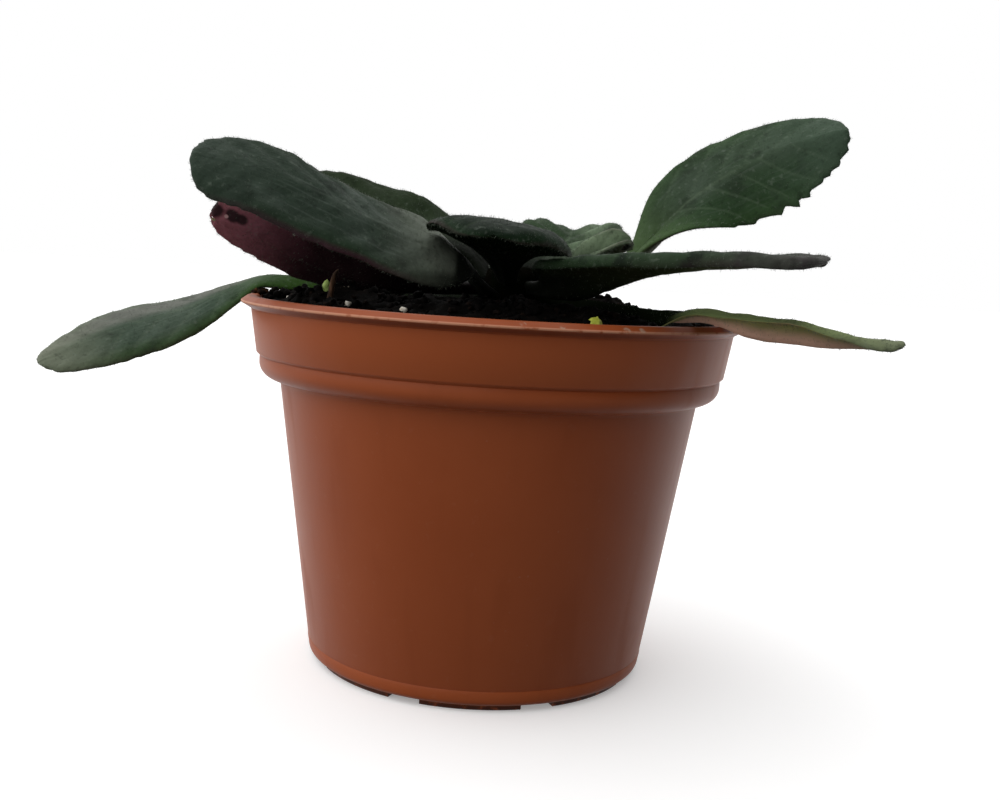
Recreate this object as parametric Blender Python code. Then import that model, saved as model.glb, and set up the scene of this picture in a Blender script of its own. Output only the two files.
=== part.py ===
"""A primulina in its nursery pot: a low rosette of thick, hairy, toothed leaves over dark soil.

Metres, +Z up. The origin is the middle of the pot's flat bottom. The side of the plant that is
seen first faces -Y, and +X is to its right.
"""

import math
from dataclasses import dataclass

import bpy
import numpy as np
from mathutils import Vector, noise
from mathutils.bvhtree import BVHTree

MM = 0.001
CLEARANCE = 0.3 * MM
SHARP_ANGLE = math.radians(40)

# Pot, with radii measured from its axis
POT_HEIGHT = 66.4 * MM
RIM_RADIUS = 46.1 * MM
LIP_HEIGHT = 1.8 * MM
LIP_EDGE_ABOVE = 0.8 * MM
LIP_EDGE_ROUNDING = 0.3 * MM
LIP_TOP_INSET = 1.35 * MM
LIP_TOP_ROUNDING = 0.6 * MM
LIP_SLANT = 54
COLLAR_HEIGHT = 14.5 * MM
COLLAR_TOP_RADIUS = 44.3 * MM
COLLAR_RADIUS = 43.1 * MM
BAND_HEIGHT = 4.4 * MM
BAND_RADIUS = 42.5 * MM
BAND_CURL = 2.8 * MM
BODY_TOP_RADIUS = 38.8 * MM
BASE_RADIUS = 31.5 * MM
BASE_ROUNDING = 1.2 * MM
FOOT_HEIGHT = 1.1 * MM
FOOT_INSET = 1.6 * MM
WALL = 1.1 * MM
FLOOR_THICKNESS = 1.7 * MM
POT_SIDES = 48

# Drainage slots round the edge of the pot's floor, each with a channel out under the foot
DRAIN_COUNT = 8
DRAIN_WIDTH = 6 * MM
DRAIN_INNER = 19 * MM
DRAIN_OUTER = 26 * MM

# Soil: heaped towards the crown, with a trough under each leaf that lies low
SOIL_EDGE_HEIGHT = 64.3 * MM
SOIL_HEAP = 3.4 * MM
HEAP_FLATNESS = 4
LUMP_HEIGHT = 1.5 * MM
LUMP_SIZE = 6 * MM
SOIL_RINGS = 14
SOIL_MOUNDS = (((20.5 * MM, 2 * MM), 6 * MM, 1.9 * MM), ((-32 * MM, -3 * MM), 5.5 * MM, 1.6 * MM),
               ((-8 * MM, 13 * MM), 10 * MM, 2.5 * MM), ((-27 * MM, -14 * MM), 6 * MM, 1.9 * MM),
               ((-36 * MM, 14 * MM), 6 * MM, 3.6 * MM), ((30 * MM, 6 * MM), 7 * MM, -2.2 * MM),
               ((-40 * MM, 3 * MM), 5.5 * MM, 2.2 * MM))
SOIL_SIDES = 48
TROUGH_CLEARANCE = 0.7 * MM
TROUGH_REACH = 3.2 * MM

# Crown: the short stem that the leaf stalks leave
CROWN_PLACE = (3 * MM, 0.2 * MM)
CROWN_RADIUS = 4.4 * MM
CROWN_TOP = 74.2 * MM
CROWN_SHOULDER = 1.8 * MM
CROWN_FOOT = 60 * MM
CROWN_SIDES = 20

# How each leaf is built up along and across
STALK_ROWS = 7
TEETH = 7
TOOTH_START = 0.3
TOOTH_PEAK = 0.78
TOOTH_DEPTH = 0.07
LAST_TOOTH = 0.985
ANGLES_FROM = 0.25
COLUMNS = (-1, -.76, -.4, 0, .4, .76, 1)
BLADE_THICKNESS = 1.1 * MM
MARGIN_THINNING = 0.38
STALK_THICKNESS = 2 * MM
KEEL_DEPTH = 1.2 * MM
KEEL_WIDTH = 0.22
WAVES = 2.5

# A leaf's width as (place from stalk to tip, share of its half width). The blade starts at STALK.
STALK = 0.24
SPOON = ((0, .13), (.12, .16), (STALK, .22), (.34, .38), (.46, .63), (.60, .85),
         (.72, .97), (.82, 1), (.91, .88), (.97, .58), (1, .26))
WEDGE = ((0, .16), (.12, .30), (STALK, .42), (.34, .52), (.46, .67), (.60, .86),
         (.72, .97), (.82, 1), (.91, .88), (.97, .58), (1, .26))
BROAD = ((0, .14), (.12, .20), (STALK, .34), (.30, .52), (.40, .76), (.52, .92),
         (.66, 1), (.80, .98), (.91, .84), (.97, .55), (1, .26))
BLUNT = ((0, .14), (.12, .18), (STALK, .28), (.27, .55), (.32, .82), (.39, .96),
         (.50, 1), (.82, 1), (.92, .93), (.97, .72), (1, .34))
OVAL = ((0, .14), (.12, .24), (STALK, .46), (.32, .68), (.42, .88), (.54, 1),
        (.68, .98), (.80, .86), (.90, .66), (.96, .46), (1, .24))
TAPER = ((0, .16), (.12, .30), (STALK, .42), (.34, .52), (.46, .68), (.60, .88),
         (.70, .98), (.80, .96), (.90, .76), (.96, .54), (1, .28))
WINGED = ((0, .13), (.12, .24), (STALK, .42), (.34, .52), (.46, .64), (.60, .84),
          (.72, .97), (.82, 1), (.91, .88), (.97, .58), (1, .26))


@dataclass
class Leaf:
    """One leaf, in millimetres and degrees.

    The midrib runs from the stalk's foot to the tip, and facing is the way that the upper face
    looks, at even steps along it. Fold is how far the left and the right half rise from the
    midrib, and curl is how far their margins bend back, each as one angle or as several, at even
    steps from ANGLES_FROM to the tip. Curl starts at a share of the half width. Spread is the
    share of the length in which the stalk turns into blade. Right_width is how wide the right
    half is against the half width, at even steps along the leaf.
    """
    name: str
    midrib: tuple
    facing: tuple
    half_width: float
    blade_start: float
    fold: tuple
    curl: tuple
    wave: float = 0.4
    outline: tuple = SPOON
    curl_start: float = 0.55
    spread: float = 0.3
    right_width: tuple = (1,)


LEAVES = (
    Leaf("leaf_right_upper",
         midrib=((7.8, 2.3, 70.5), (14.5, 4.5, 71.8), (22, 6, 72), (29, 8, 79.5), (36.5, 9, 88.5),
                 (46.5, 8, 96), (56, 6, 100.5), (64, 3, 103)),
         facing=((0, 0, 1), (-.5, -.4, 1), (-.5, -.8, .6), (-.3, -.8, .6), (-.3, -.8, .6)),
         half_width=9.3, blade_start=.34, fold=((22, 8, -26), (60, -18, -20)), curl=(16, 10),
         wave=.5, right_width=(1, 1, 1, 1.1, 1.25, .85), outline=BROAD),
    Leaf("leaf_right_lower",
         midrib=((8.2, -1.8, 68.6), (17, -8, 68.1), (27, -16, 67.5), (35.5, -23.2, 68.1),
                 (38.3, -25.6, 67.5), (41.5, -27.8, 66.3), (46, -30, 65.7), (51, -32, 65.5),
                 (57.5, -34.5, 65.6), (64.3, -37, 66.1)),
         facing=((0, 0, 1), (0, 0, 1), (.1, -.25, 1)),
         half_width=9.5, blade_start=.3, fold=((0, -4, -14), (-36, -36, 6, 30, 32, 20, 6)),
         curl=((10, 10, 20), (20, 50, 30)), wave=.2, outline=WINGED),
    Leaf("leaf_front_right",
         midrib=((6.6, -3.9, 70.5), (9.5, -12, 70.3), (15, -21.5, 71), (19.5, -27.5, 73.1),
                 (25, -32.5, 75.4), (37.5, -40.5, 77.2), (48.5, -46, 77.9)),
         facing=((0, 0, 1), (0, 0, 1), (0, -.1, 1)),
         half_width=11.2, blade_start=.15, spread=.14,
         fold=((20, 14, 4, 2, 2), (40, 26, 16, 10, 8, 7, 6)),
         curl=((20, 30, 30), (110, 115, 90)), wave=.2, outline=BLUNT, curl_start=.72),
    Leaf("leaf_front",
         midrib=((2.2, -5.4, 71.6), (1.2, -11, 76), (1, -18, 79.8), (.8, -26, 81.2),
                 (0, -33, 80.8), (-.8, -38, 79)),
         facing=((.1, 0, 1), (.1, 0, 1)),
         half_width=12.8, blade_start=.26, fold=(-3, -4), curl=(56, 30), outline=OVAL,
         curl_start=.5),
    Leaf("leaf_left_upper",
         midrib=((0, -4.9, 68.5), (-3, -11, 71), (-7.6, -18.5, 76.3), (-16.5, -24.5, 78.6),
                 (-27, -30, 83), (-37.5, -33, 87), (-48, -35, 88.5)),
         facing=((.2, -.1, .9), (.4, -.6, .7), (.4, -.6, .7), (.3, -.7, .75)),
         half_width=9.4, blade_start=.2, spread=.14, fold=(-4, -12), curl=(18, 18),
         outline=BLUNT),
    Leaf("leaf_left_middle",
         midrib=((-2.2, -2.2, 70), (-11.5, -5, 69.6), (-20.5, -8, 70.2), (-31.5, -10, 73.4),
                 (-41.5, -12, 77.5), (-50, -13, 80.5)),
         facing=((0, .1, 1), (0, .6, 1), (0, .7, .8)),
         half_width=7.8, blade_start=.2, fold=(6, 0), curl=(15, 15), outline=WEDGE,
         right_width=(1, 1, 1, 1, .93, .8)),
    Leaf("leaf_left_lower",
         midrib=((-2.7, 1.2, 67.8), (-15, 4, 67.2), (-28, 5.5, 68), (-39, 5, 68.8),
                 (-44.5, 4.5, 68.6), (-48.5, 3.6, 66.7), (-59, -2, 61.6), (-68, -7, 58.2),
                 (-79.2, -14, 52.4)),
         facing=((0, 0, 1), (0, -.3, 1), (0, -.6, 1), (0, -.3, 1), (0, -.6, 1), (0, -.72, 1),
                 (0, -.75, 1)),
         half_width=8, blade_start=.43, fold=((-2, -2, 14, 4, -2, -2), (-14, -13, -8, -6, -6, -8)),
         curl=(35, 40),
         wave=.3, outline=TAPER),
    Leaf("leaf_left_back",
         midrib=((-1.8, 2.8, 71.2), (-4.8, 6.5, 75.6), (-11, 9, 79.8), (-19.5, 11, 82),
                 (-29.5, 13, 84), (-37.5, 14, 85.4), (-44.5, 15, 86.6)),
         facing=((.2, -.1, .9), (.4, -.6, .7), (.4, -.6, .7)),
         half_width=10.6, blade_start=.12, fold=(4, 4), curl=(20, 20), outline=BROAD),
    Leaf("leaf_back_right",
         midrib=((5.4, 4.8, 71.3), (9, 11, 75.5), (14, 20, 79.5), (15.5, 28, 82), (17, 38, 80.5)),
         facing=((-.12, -.5, 1), (-.03, -.4, 1), (0, 0, 1)),
         half_width=12, blade_start=.12, fold=(14, 12), curl=(70, 66), outline=BROAD),
    Leaf("leaf_back",
         midrib=((2.6, 5.6, 69.4), (2, 14, 71), (0, 28, 73.5), (-2, 42, 74), (-3, 55, 70)),
         facing=((0, 0, 1), (0, 0, 1)),
         half_width=11.5, blade_start=.25, fold=(10, 10), curl=(40, 40), wave=.5, outline=WEDGE),
    Leaf("leaf_back_left",
         midrib=((-.9, 4.5, 69.4), (-11, 14, 70.4), (-22, 26, 72.5), (-32, 38, 73), (-40, 48, 70)),
         facing=((0, 0, 1), (0, 0, 1)),
         half_width=11.5, blade_start=.25, fold=(10, 10), curl=(40, 40), wave=.5, outline=WEDGE),
    Leaf("leaf_young",
         midrib=((7.7, -.2, 73), (13, -.5, 74.5), (18, -1, 77.2), (25, -1, 79.4)),
         facing=((-.3, -.5, 1), (-.3, -.8, .8)),
         half_width=3.9, blade_start=.2, fold=((20, 36, 66), (20, 36, 66)), curl=(10, 10), wave=.1),
)

# What else stands in the soil, in millimetres: a dead stalk, a bud and the stub of a shoot
STICKS = {
    "dead_stalk": dict(path=((-28.4, -19.4, 61.5), (-27.8, -20, 67), (-27.1, -20.2, 71),
                             (-26.6, -20, 72)), radius=.5),
    "bud": dict(path=((-29.6, -15.4, 61.5), (-29.5, -15.2, 66), (-29.1, -15, 70)), radius=.8),
    "shoot": dict(path=((15.6, -35.5, 61.5), (15.7, -35.6, 65), (16.2, -35.8, 67.2)), radius=1.35),
}
STICK_SIDES = 10
STICK_ROWS = 7

# Base colour and roughness of each material
POT_LOOK = ((.36, .125, .055), .45)
SOIL_LOOK = ((.018, .012, .009), .95)
CROWN_LOOK = ((.10, .11, .05), .7)
LEAF_LOOK = ((.085, .125, .085), .62)
STICK_LOOKS = {"dead_stalk": ((.16, .09, .05), .85), "bud": ((.38, .5, .16), .5),
               "shoot": ((.33, .38, .07), .5)}


def clear_scene():
    for item in list(bpy.data.objects):
        bpy.data.objects.remove(item, do_unlink=True)


def make_material(name, look):
    colour, roughness = look
    material = bpy.data.materials.new(name)
    material.use_nodes = True
    shader = material.node_tree.nodes["Principled BSDF"]
    shader.inputs["Base Color"].default_value = (*colour, 1)
    shader.inputs["Roughness"].default_value = roughness
    return material


def add_object(name, points, faces, look=None):
    """A mesh object, shaded smooth, from its points in metres and its faces."""
    mesh = bpy.data.meshes.new(name)
    mesh.from_pydata([tuple(map(float, p)) for p in points], [], faces)
    mesh.shade_smooth()
    mesh.set_sharp_from_angle(angle=SHARP_ANGLE)
    item = bpy.data.objects.new(name, mesh)
    bpy.context.scene.collection.objects.link(item)
    if look:
        mesh.materials.append(make_material(name, look))
    return item


def cut(target, cutter):
    """Cut one object out of another, and keep the cutter out of sight."""
    cutter.hide_render = True
    cutter.display_type = "WIRE"
    modifier = target.modifiers.new("cut_" + cutter.name, "BOOLEAN")
    modifier.operation = "DIFFERENCE"
    modifier.solver = "EXACT"
    modifier.object = cutter


def ease(x, low, high):
    """0 below low, 1 above high, and a smooth step between them."""
    t = np.clip((x - low) / (high - low), 0, 1)
    return t * t * (3 - 2 * t)


def arc(centre, radius, start, end, count):
    """Points along an arc, from a start to an end angle in degrees."""
    angles = [math.radians(start + (end - start) * k / (count - 1)) for k in range(count)]
    return [(centre[0] + radius * math.cos(a), centre[1] + radius * math.sin(a)) for a in angles]


def hermite(knots, values, tangents, x):
    """The smooth curve with these values and tangents at its knots, read at x."""
    i = np.clip(np.searchsorted(knots, x, side="right") - 1, 0, len(knots) - 2)
    run = np.diff(knots)[i]
    t = (x - knots[i]) / run
    if values.ndim > 1:
        run, t = run[:, None], t[:, None]
    start = (1 + 2 * t) * (1 - t) ** 2 * values[i] + t * (1 - t) ** 2 * run * tangents[i]
    end = t * t * (3 - 2 * t) * values[i + 1] + t * t * (t - 1) * run * tangents[i + 1]
    return start + end


def curve_through(table, x):
    """A curve through (place, value) pairs that doesn't overshoot them."""
    place, value = np.array(table, float).T
    slope = np.diff(value) / np.diff(place)
    before, after = slope[:-1], slope[1:]
    inner = np.zeros(len(before))
    same_way = before * after > 0
    inner[same_way] = 2 * (before * after)[same_way] / (before + after)[same_way]
    return hermite(place, value, np.concatenate([slope[:1], inner, slope[-1:]]), x)


def spline(points, fractions):
    """Points at fractions of the length of a smooth curve through the given points."""
    points = np.array(points, float)
    run = np.sqrt(np.linalg.norm(np.diff(points, axis=0), axis=1))[:, None]
    speed = np.diff(points, axis=0) / run
    inner = (speed[1:] * run[:-1] + speed[:-1] * run[1:]) / (run[1:] + run[:-1])
    tangents = np.concatenate([speed[:1], inner, speed[-1:]])
    knots = np.concatenate([[0], np.cumsum(run)])
    fine = hermite(knots, points, tangents, np.linspace(0, knots[-1], 300))
    length = np.concatenate([[0], np.cumsum(np.linalg.norm(np.diff(fine, axis=0), axis=1))])
    places = np.asarray(fractions) * length[-1]
    return np.stack([np.interp(places, length, fine[:, axis]) for axis in range(3)], axis=-1)


def turned(outline, sides, centre=(0, 0)):
    """Points and faces of a solid turned about a vertical axis.

    The outline runs from the axis at the bottom, up the outside, and back to the axis.
    """
    points = [(*centre, outline[0][1]), (*centre, outline[-1][1])]
    rings = outline[1:-1]
    for radius, height in rings:
        for k in range(sides):
            angle = 2 * math.pi * k / sides
            x = centre[0] + radius * math.cos(angle)
            y = centre[1] + radius * math.sin(angle)
            points.append((x, y, height))
    faces = []
    for k in range(sides):
        after = (k + 1) % sides
        faces.append((0, 2 + after, 2 + k))
        for ring in range(len(rings) - 1):
            low, high = 2 + ring * sides, 2 + (ring + 1) * sides
            faces.append((low + k, low + after, high + after, high + k))
        last = 2 + (len(rings) - 1) * sides
        faces.append((1, last + k, last + after))
    return points, faces


def pot_outline():
    """The pot's outline as its outside and its inside, both listed from the floor to the rim."""
    shelf = POT_HEIGHT - COLLAR_HEIGHT
    groove = shelf + BAND_HEIGHT
    lip = POT_HEIGHT - LIP_HEIGHT
    lip_inside = COLLAR_TOP_RADIUS - WALL
    foot = BASE_RADIUS - FOOT_INSET
    outside = [(0, 0), (foot, 0), (foot, FOOT_HEIGHT)]
    outside += arc((BASE_RADIUS - BASE_ROUNDING, FOOT_HEIGHT + BASE_ROUNDING), BASE_ROUNDING,
                   -90, 0, 3)
    outside += [(BODY_TOP_RADIUS, shelf)]
    outside += arc((BAND_RADIUS - BAND_CURL, shelf + BAND_CURL), BAND_CURL, -90, 0, 4)
    outside += [(BAND_RADIUS, groove - .3 * MM), (COLLAR_RADIUS, groove), (COLLAR_TOP_RADIUS, lip)]
    outside += arc((RIM_RADIUS - LIP_EDGE_ROUNDING, lip + LIP_EDGE_ABOVE), LIP_EDGE_ROUNDING,
                   -80, LIP_SLANT, 4)
    outside += arc((RIM_RADIUS - LIP_TOP_INSET, POT_HEIGHT - LIP_TOP_ROUNDING),
                   LIP_TOP_ROUNDING, LIP_SLANT, 90, 4)
    inside = [(0, FLOOR_THICKNESS), (BASE_RADIUS - WALL, FLOOR_THICKNESS),
              (BODY_TOP_RADIUS - WALL, shelf + WALL), (BAND_RADIUS - BAND_CURL, shelf + WALL)]
    inside += arc((BAND_RADIUS - BAND_CURL, shelf + BAND_CURL), BAND_CURL - WALL, -45, 0, 2)
    inside += [(COLLAR_RADIUS - WALL, groove), (lip_inside, lip)]
    inside += [(lip_inside, POT_HEIGHT - .5 * MM)]
    return outside, inside


def drain_cutter():
    """Slots through the floor, each open sideways under the foot."""
    below, above = -MM, FLOOR_THICKNESS + MM
    side = [(DRAIN_INNER, below), (BASE_RADIUS + MM, below), (BASE_RADIUS + MM, FOOT_HEIGHT),
            (DRAIN_OUTER, FOOT_HEIGHT), (DRAIN_OUTER, above), (DRAIN_INNER, above)]
    points, faces = [], []
    for k in range(DRAIN_COUNT):
        angle = 2 * math.pi * (k + .5) / DRAIN_COUNT
        along = Vector((math.cos(angle), math.sin(angle), 0))
        across = Vector((-along.y, along.x, 0)) * DRAIN_WIDTH / 2
        first, count = len(points), len(side)
        for half in (-across, across):
            points += [along * radius + half + Vector((0, 0, height)) for radius, height in side]
        faces.append(tuple(range(first, first + count)))
        faces.append(tuple(range(first + 2 * count - 1, first + count - 1, -1)))
        for j in range(count):
            after = (j + 1) % count
            faces.append((first + after, first + j, first + count + j, first + count + after))
    return add_object("drain_cutter", points, faces)


def make_pot():
    outside, inside = pot_outline()
    pot = add_object("pot", *turned(outside + inside[::-1], POT_SIDES), POT_LOOK)
    cut(pot, drain_cutter())


def leaf_rows():
    """Places of a leaf's rows past its blade's start, and how far each is out on a tooth."""
    places, peaks = list(np.linspace(0, TOOTH_START, STALK_ROWS + 1)[:-1]), [0] * STALK_ROWS
    step = (LAST_TOOTH - TOOTH_START) / TEETH
    for k in range(TEETH):
        places += [TOOTH_START + step * k, TOOTH_START + step * (k + TOOTH_PEAK)]
        peaks += [0, 1]
    return np.array(places + [LAST_TOOTH, 1]), np.array(peaks + [0, 0])


def along_leaf(angle, places):
    """An angle given once, or at even steps past the leaf's base, in radians at each place."""
    if isinstance(angle, tuple):
        return np.radians(np.interp(places, np.linspace(ANGLES_FROM, 1, len(angle)), angle))
    return np.full(len(places), math.radians(angle))


def midrib_frame(leaf, places):
    """The midrib's points in metres, and the upward and rightward directions there."""
    centre = spline(leaf.midrib, places) * MM
    tangent = np.gradient(spline(leaf.midrib, np.linspace(0, 1, 201)), axis=0)
    tangent = np.stack([np.interp(places, np.linspace(0, 1, 201), tangent[:, axis])
                        for axis in range(3)], axis=-1)
    tangent /= np.linalg.norm(tangent, axis=1)[:, None]
    steps = np.linspace(0, 1, len(leaf.facing))
    up = np.stack([np.interp(places, steps, [f[axis] for f in leaf.facing])
                   for axis in range(3)], axis=-1)
    up -= (up * tangent).sum(1)[:, None] * tangent
    up /= np.linalg.norm(up, axis=1)[:, None]
    return centre, up, np.cross(tangent, up)


def leaf_faces(leaf):
    """The leaf's upper and lower surface, as rows of points from its stalk to its tip."""
    row, peak = leaf_rows()
    start = leaf.blade_start
    split = row[STALK_ROWS]
    tooth_from = start + TOOTH_START * (1 - start)
    places = np.where(row <= split, row / split * tooth_from,
                      tooth_from + (row - split) / (1 - split) * (1 - tooth_from))
    centre, up, right = midrib_frame(leaf, places)
    stretched = np.where(places < start, places / start * STALK,
                         STALK + (places - start) / (1 - start) * (1 - STALK))
    half = leaf.half_width * MM * curve_through(leaf.outline, stretched)
    toothed = ease(places, tooth_from - .02, tooth_from + .1)
    half = half * (1 + TOOTH_DEPTH * (peak - .3) * toothed)
    blade = ease(places, start - .05, start - .05 + leaf.spread)[:, None]

    v = np.array(COLUMNS)
    fold = np.where(v < 0, along_leaf(leaf.fold[0], places)[:, None],
                    along_leaf(leaf.fold[1], places)[:, None])
    curl = np.where(v < 0, along_leaf(leaf.curl[0], places)[:, None],
                    along_leaf(leaf.curl[1], places)[:, None]) * blade
    within = (np.arange(12) + .5) / 12 * np.abs(v)[:, None]
    right_width = np.interp(places, np.linspace(0, 1, len(leaf.right_width)), leaf.right_width)
    wide = half[:, None] * np.where(v > 0, right_width[:, None], 1)
    angle = fold[..., None] - curl[..., None] * ease(within, leaf.curl_start, 1)
    across = v * np.cos(angle).mean(-1) * wide
    rise = np.abs(v) * np.sin(angle).mean(-1) * wide
    phase = 2 * np.pi * WAVES * places[:, None] + np.where(v < 0, 0, 1.3)
    rise = rise + leaf.wave * MM * blade * v * v * np.sin(phase)
    middle = centre[:, None] + right[:, None] * across[..., None] + up[:, None] * rise[..., None]

    lean = np.where(v == 0, 0, fold - curl * ease(np.abs(v), leaf.curl_start, 1)) * np.sign(v)
    normal = up[:, None] * np.cos(lean)[..., None] - right[:, None] * np.sin(lean)[..., None]
    thin_blade = BLADE_THICKNESS * (1 - MARGIN_THINNING * v * v)
    round_stalk = STALK_THICKNESS * np.sqrt(np.maximum(.12, 1 - v * v))
    thickness = blade * thin_blade + (1 - blade) * round_stalk
    keel = KEEL_DEPTH * np.exp(-(v / KEEL_WIDTH) ** 2) * (.25 + .75 * blade)
    keel = keel * (1 - .75 * places[:, None])
    upper = middle + normal * (thickness / 2)[..., None]
    lower = middle - normal * (thickness / 2 + keel)[..., None]
    return upper, lower


def close_sheet(upper, lower):
    """Points and triangles of the solid between two surfaces, both split alike."""
    rows, columns = upper.shape[:2]
    points = np.concatenate([upper.reshape(-1, 3), lower.reshape(-1, 3)])
    under = rows * columns
    faces = []
    for i in range(rows - 1):
        for j in range(columns - 1):
            a, b = i * columns + j, i * columns + j + 1
            c, d = b + columns, a + columns
            halves = [(a, b, c), (a, c, d)] if j < columns // 2 else [(a, b, d), (b, c, d)]
            for p, q, r in halves:
                faces += [(p, q, r), (r + under, q + under, p + under)]
    right_edge = [i * columns + columns - 1 for i in range(rows)]
    left_edge = [i * columns for i in range(rows)]
    first_row, last_row = list(range(columns)), [(rows - 1) * columns + j for j in range(columns)]
    rim = first_row[::-1] + left_edge[1:] + last_row[1:] + right_edge[-2:0:-1]
    for k, a in enumerate(rim):
        b = rim[(k + 1) % len(rim)]
        faces += [(a, b, b + under), (a, b + under, a + under)]
    return points, faces


def make_leaves():
    return [add_object(leaf.name, *close_sheet(*leaf_faces(leaf)), LEAF_LOOK) for leaf in LEAVES]


def ceiling(trees, x, y):
    """How high the soil may reach near a place without touching the leaves above it."""
    lowest = 1.0
    for dx in (-TROUGH_REACH, 0, TROUGH_REACH):
        for dy in (-TROUGH_REACH, 0, TROUGH_REACH):
            start = Vector((x + dx, y + dy, CROWN_FOOT))
            for tree in trees:
                hit = tree.ray_cast(start, Vector((0, 0, 1)))[0]
                if hit:
                    lowest = min(lowest, hit.z - TROUGH_CLEARANCE)
    return lowest


def soil_height(x, y, edge):
    """The heap with its lumps, where edge is the distance from the axis to the pot's wall."""
    reach = math.hypot(x, y) / edge
    heap = SOIL_EDGE_HEIGHT + SOIL_HEAP * (1 - reach ** HEAP_FLATNESS)
    for centre, spread, height in SOIL_MOUNDS:
        heap += height * math.exp(-(math.dist((x, y), centre) / spread) ** 2)
    place = Vector((x, y, 0)) / LUMP_SIZE
    return heap + LUMP_HEIGHT * (noise.noise(place) + .5 * noise.noise(place * 2.3))


def make_soil(leaves):
    inside = pot_outline()[1]
    wall = [(max(radius - CLEARANCE, 0), height + CLEARANCE)
            for radius, height in inside if height < SOIL_EDGE_HEIGHT - LUMP_HEIGHT]
    edge = wall[-1][0] + (COLLAR_TOP_RADIUS - COLLAR_RADIUS) * .8
    trees = [BVHTree.FromObject(leaf, bpy.context.evaluated_depsgraph_get()) for leaf in leaves]
    outline = wall + [(edge * (1 - k / SOIL_RINGS), SOIL_EDGE_HEIGHT) for k in range(SOIL_RINGS + 1)]
    points, faces = turned(outline, SOIL_SIDES)
    for index, (x, y, z) in enumerate(points):
        if z == SOIL_EDGE_HEIGHT:
            points[index] = (x, y, min(soil_height(x, y, edge), ceiling(trees, x, y)))
    return add_object("soil", points, faces, SOIL_LOOK)


def crown_outline(radius, top):
    return [(0, CROWN_FOOT), (radius, CROWN_FOOT), (radius, top - CROWN_SHOULDER),
            (radius * .72, top - .25 * CROWN_SHOULDER), (0, top)]


def stick_points(stick, grow=0):
    """A tapering round stick along a curved path, as rings between a foot and a top point."""
    places = np.linspace(0, 1, STICK_ROWS)
    centre = spline(stick["path"], places) * MM
    along = np.gradient(centre, axis=0)
    along /= np.linalg.norm(along, axis=1)[:, None]
    side = np.cross(along, (0, 1, 0))
    front = np.cross(along, side)
    points = [centre[0]]
    for k, t in enumerate(places):
        radius = stick["radius"] * MM * math.sqrt(1 - .85 * max(0, (t - .6) / .4) ** 2) + grow
        for j in range(STICK_SIDES):
            angle = 2 * math.pi * j / STICK_SIDES
            points.append(centre[k] + radius * (side[k] * math.cos(angle)
                                                + front[k] * math.sin(angle)))
    points.append(centre[-1] + along[-1] * (.2 * stick["radius"] * MM + grow))
    return points


def stick_faces():
    last = 1 + (STICK_ROWS - 1) * STICK_SIDES
    faces = []
    for j in range(STICK_SIDES):
        after = (j + 1) % STICK_SIDES
        faces.append((0, 1 + after, 1 + j))
        for k in range(STICK_ROWS - 1):
            low, high = 1 + k * STICK_SIDES, 1 + (k + 1) * STICK_SIDES
            faces.append((low + j, low + after, high + after, high + j))
        faces.append((last + j, last + after, last + STICK_SIDES))
    return faces


def make_what_stands_in(soil):
    """The crown and the sticks, each in a plain hole in the soil."""
    add_object("crown", *turned(crown_outline(CROWN_RADIUS, CROWN_TOP), CROWN_SIDES, CROWN_PLACE),
               CROWN_LOOK)
    wide = crown_outline(CROWN_RADIUS + CLEARANCE, CROWN_TOP)
    wide = [(radius, height - CLEARANCE) for radius, height in wide]
    hole = add_object("crown_hole_cutter", *turned(wide, CROWN_SIDES, CROWN_PLACE))
    cut(soil, hole)
    for name, stick in STICKS.items():
        add_object(name, stick_points(stick), stick_faces(), STICK_LOOKS[name])
        points = stick_points(stick, grow=CLEARANCE)
        points[0] = points[0] - (0, 0, CLEARANCE)
        hole = add_object(name + "_hole_cutter", points, stick_faces())
        cut(soil, hole)


clear_scene()
make_pot()
make_what_stands_in(make_soil(make_leaves()))
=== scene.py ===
"""The potted primulina as it is seen: dark hairy leaves over moist soil in a terracotta-brown pot.

Metres, +Z up. The origin is the middle of the pot's flat bottom. The side of the plant that is
seen first faces -Y, and +X is to its right.
"""

import math
from dataclasses import dataclass, field

import bmesh
import bpy
import numpy as np
from mathutils import Matrix, Vector, noise
from mathutils.bvhtree import BVHTree


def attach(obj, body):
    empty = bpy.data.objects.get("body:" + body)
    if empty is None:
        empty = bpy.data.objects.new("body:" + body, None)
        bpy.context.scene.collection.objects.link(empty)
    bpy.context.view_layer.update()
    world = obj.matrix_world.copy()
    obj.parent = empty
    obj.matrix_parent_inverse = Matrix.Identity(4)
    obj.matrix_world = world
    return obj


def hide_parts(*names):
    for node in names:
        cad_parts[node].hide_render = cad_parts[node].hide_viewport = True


MM = 0.001

# Pot, with radii measured from its axis
POT_HEIGHT = 66.4 * MM
RIM_RADIUS = 46.1 * MM
LIP_HEIGHT = 1.8 * MM
LIP_EDGE_ABOVE = 0.8 * MM
LIP_EDGE_ROUNDING = 0.3 * MM
LIP_TOP_INSET = 1.35 * MM
LIP_TOP_ROUNDING = 0.6 * MM
LIP_SLANT = 54
COLLAR_HEIGHT = 14.5 * MM
COLLAR_TOP_RADIUS = 44.3 * MM
COLLAR_RADIUS = 43.1 * MM
BAND_HEIGHT = 4.4 * MM
BAND_RADIUS = 42.5 * MM
BAND_CURL = 2.8 * MM
BODY_TOP_RADIUS = 38.8 * MM
BASE_RADIUS = 31.5 * MM
BASE_ROUNDING = 1.2 * MM
FOOT_HEIGHT = 1.1 * MM
FOOT_INSET = 1.6 * MM
WALL = 1.1 * MM
FLOOR_THICKNESS = 1.7 * MM
MOULD_LINE_HEIGHT = 3.9 * MM
MOULD_LINE_DEPTH = 0.14 * MM
MOULD_LINE_SLOPE = 0.25 * MM
POT_SIDES = 192
DRAIN_COUNT = 8
DRAIN_WIDTH = 6 * MM
DRAIN_INNER = 19 * MM
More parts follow.
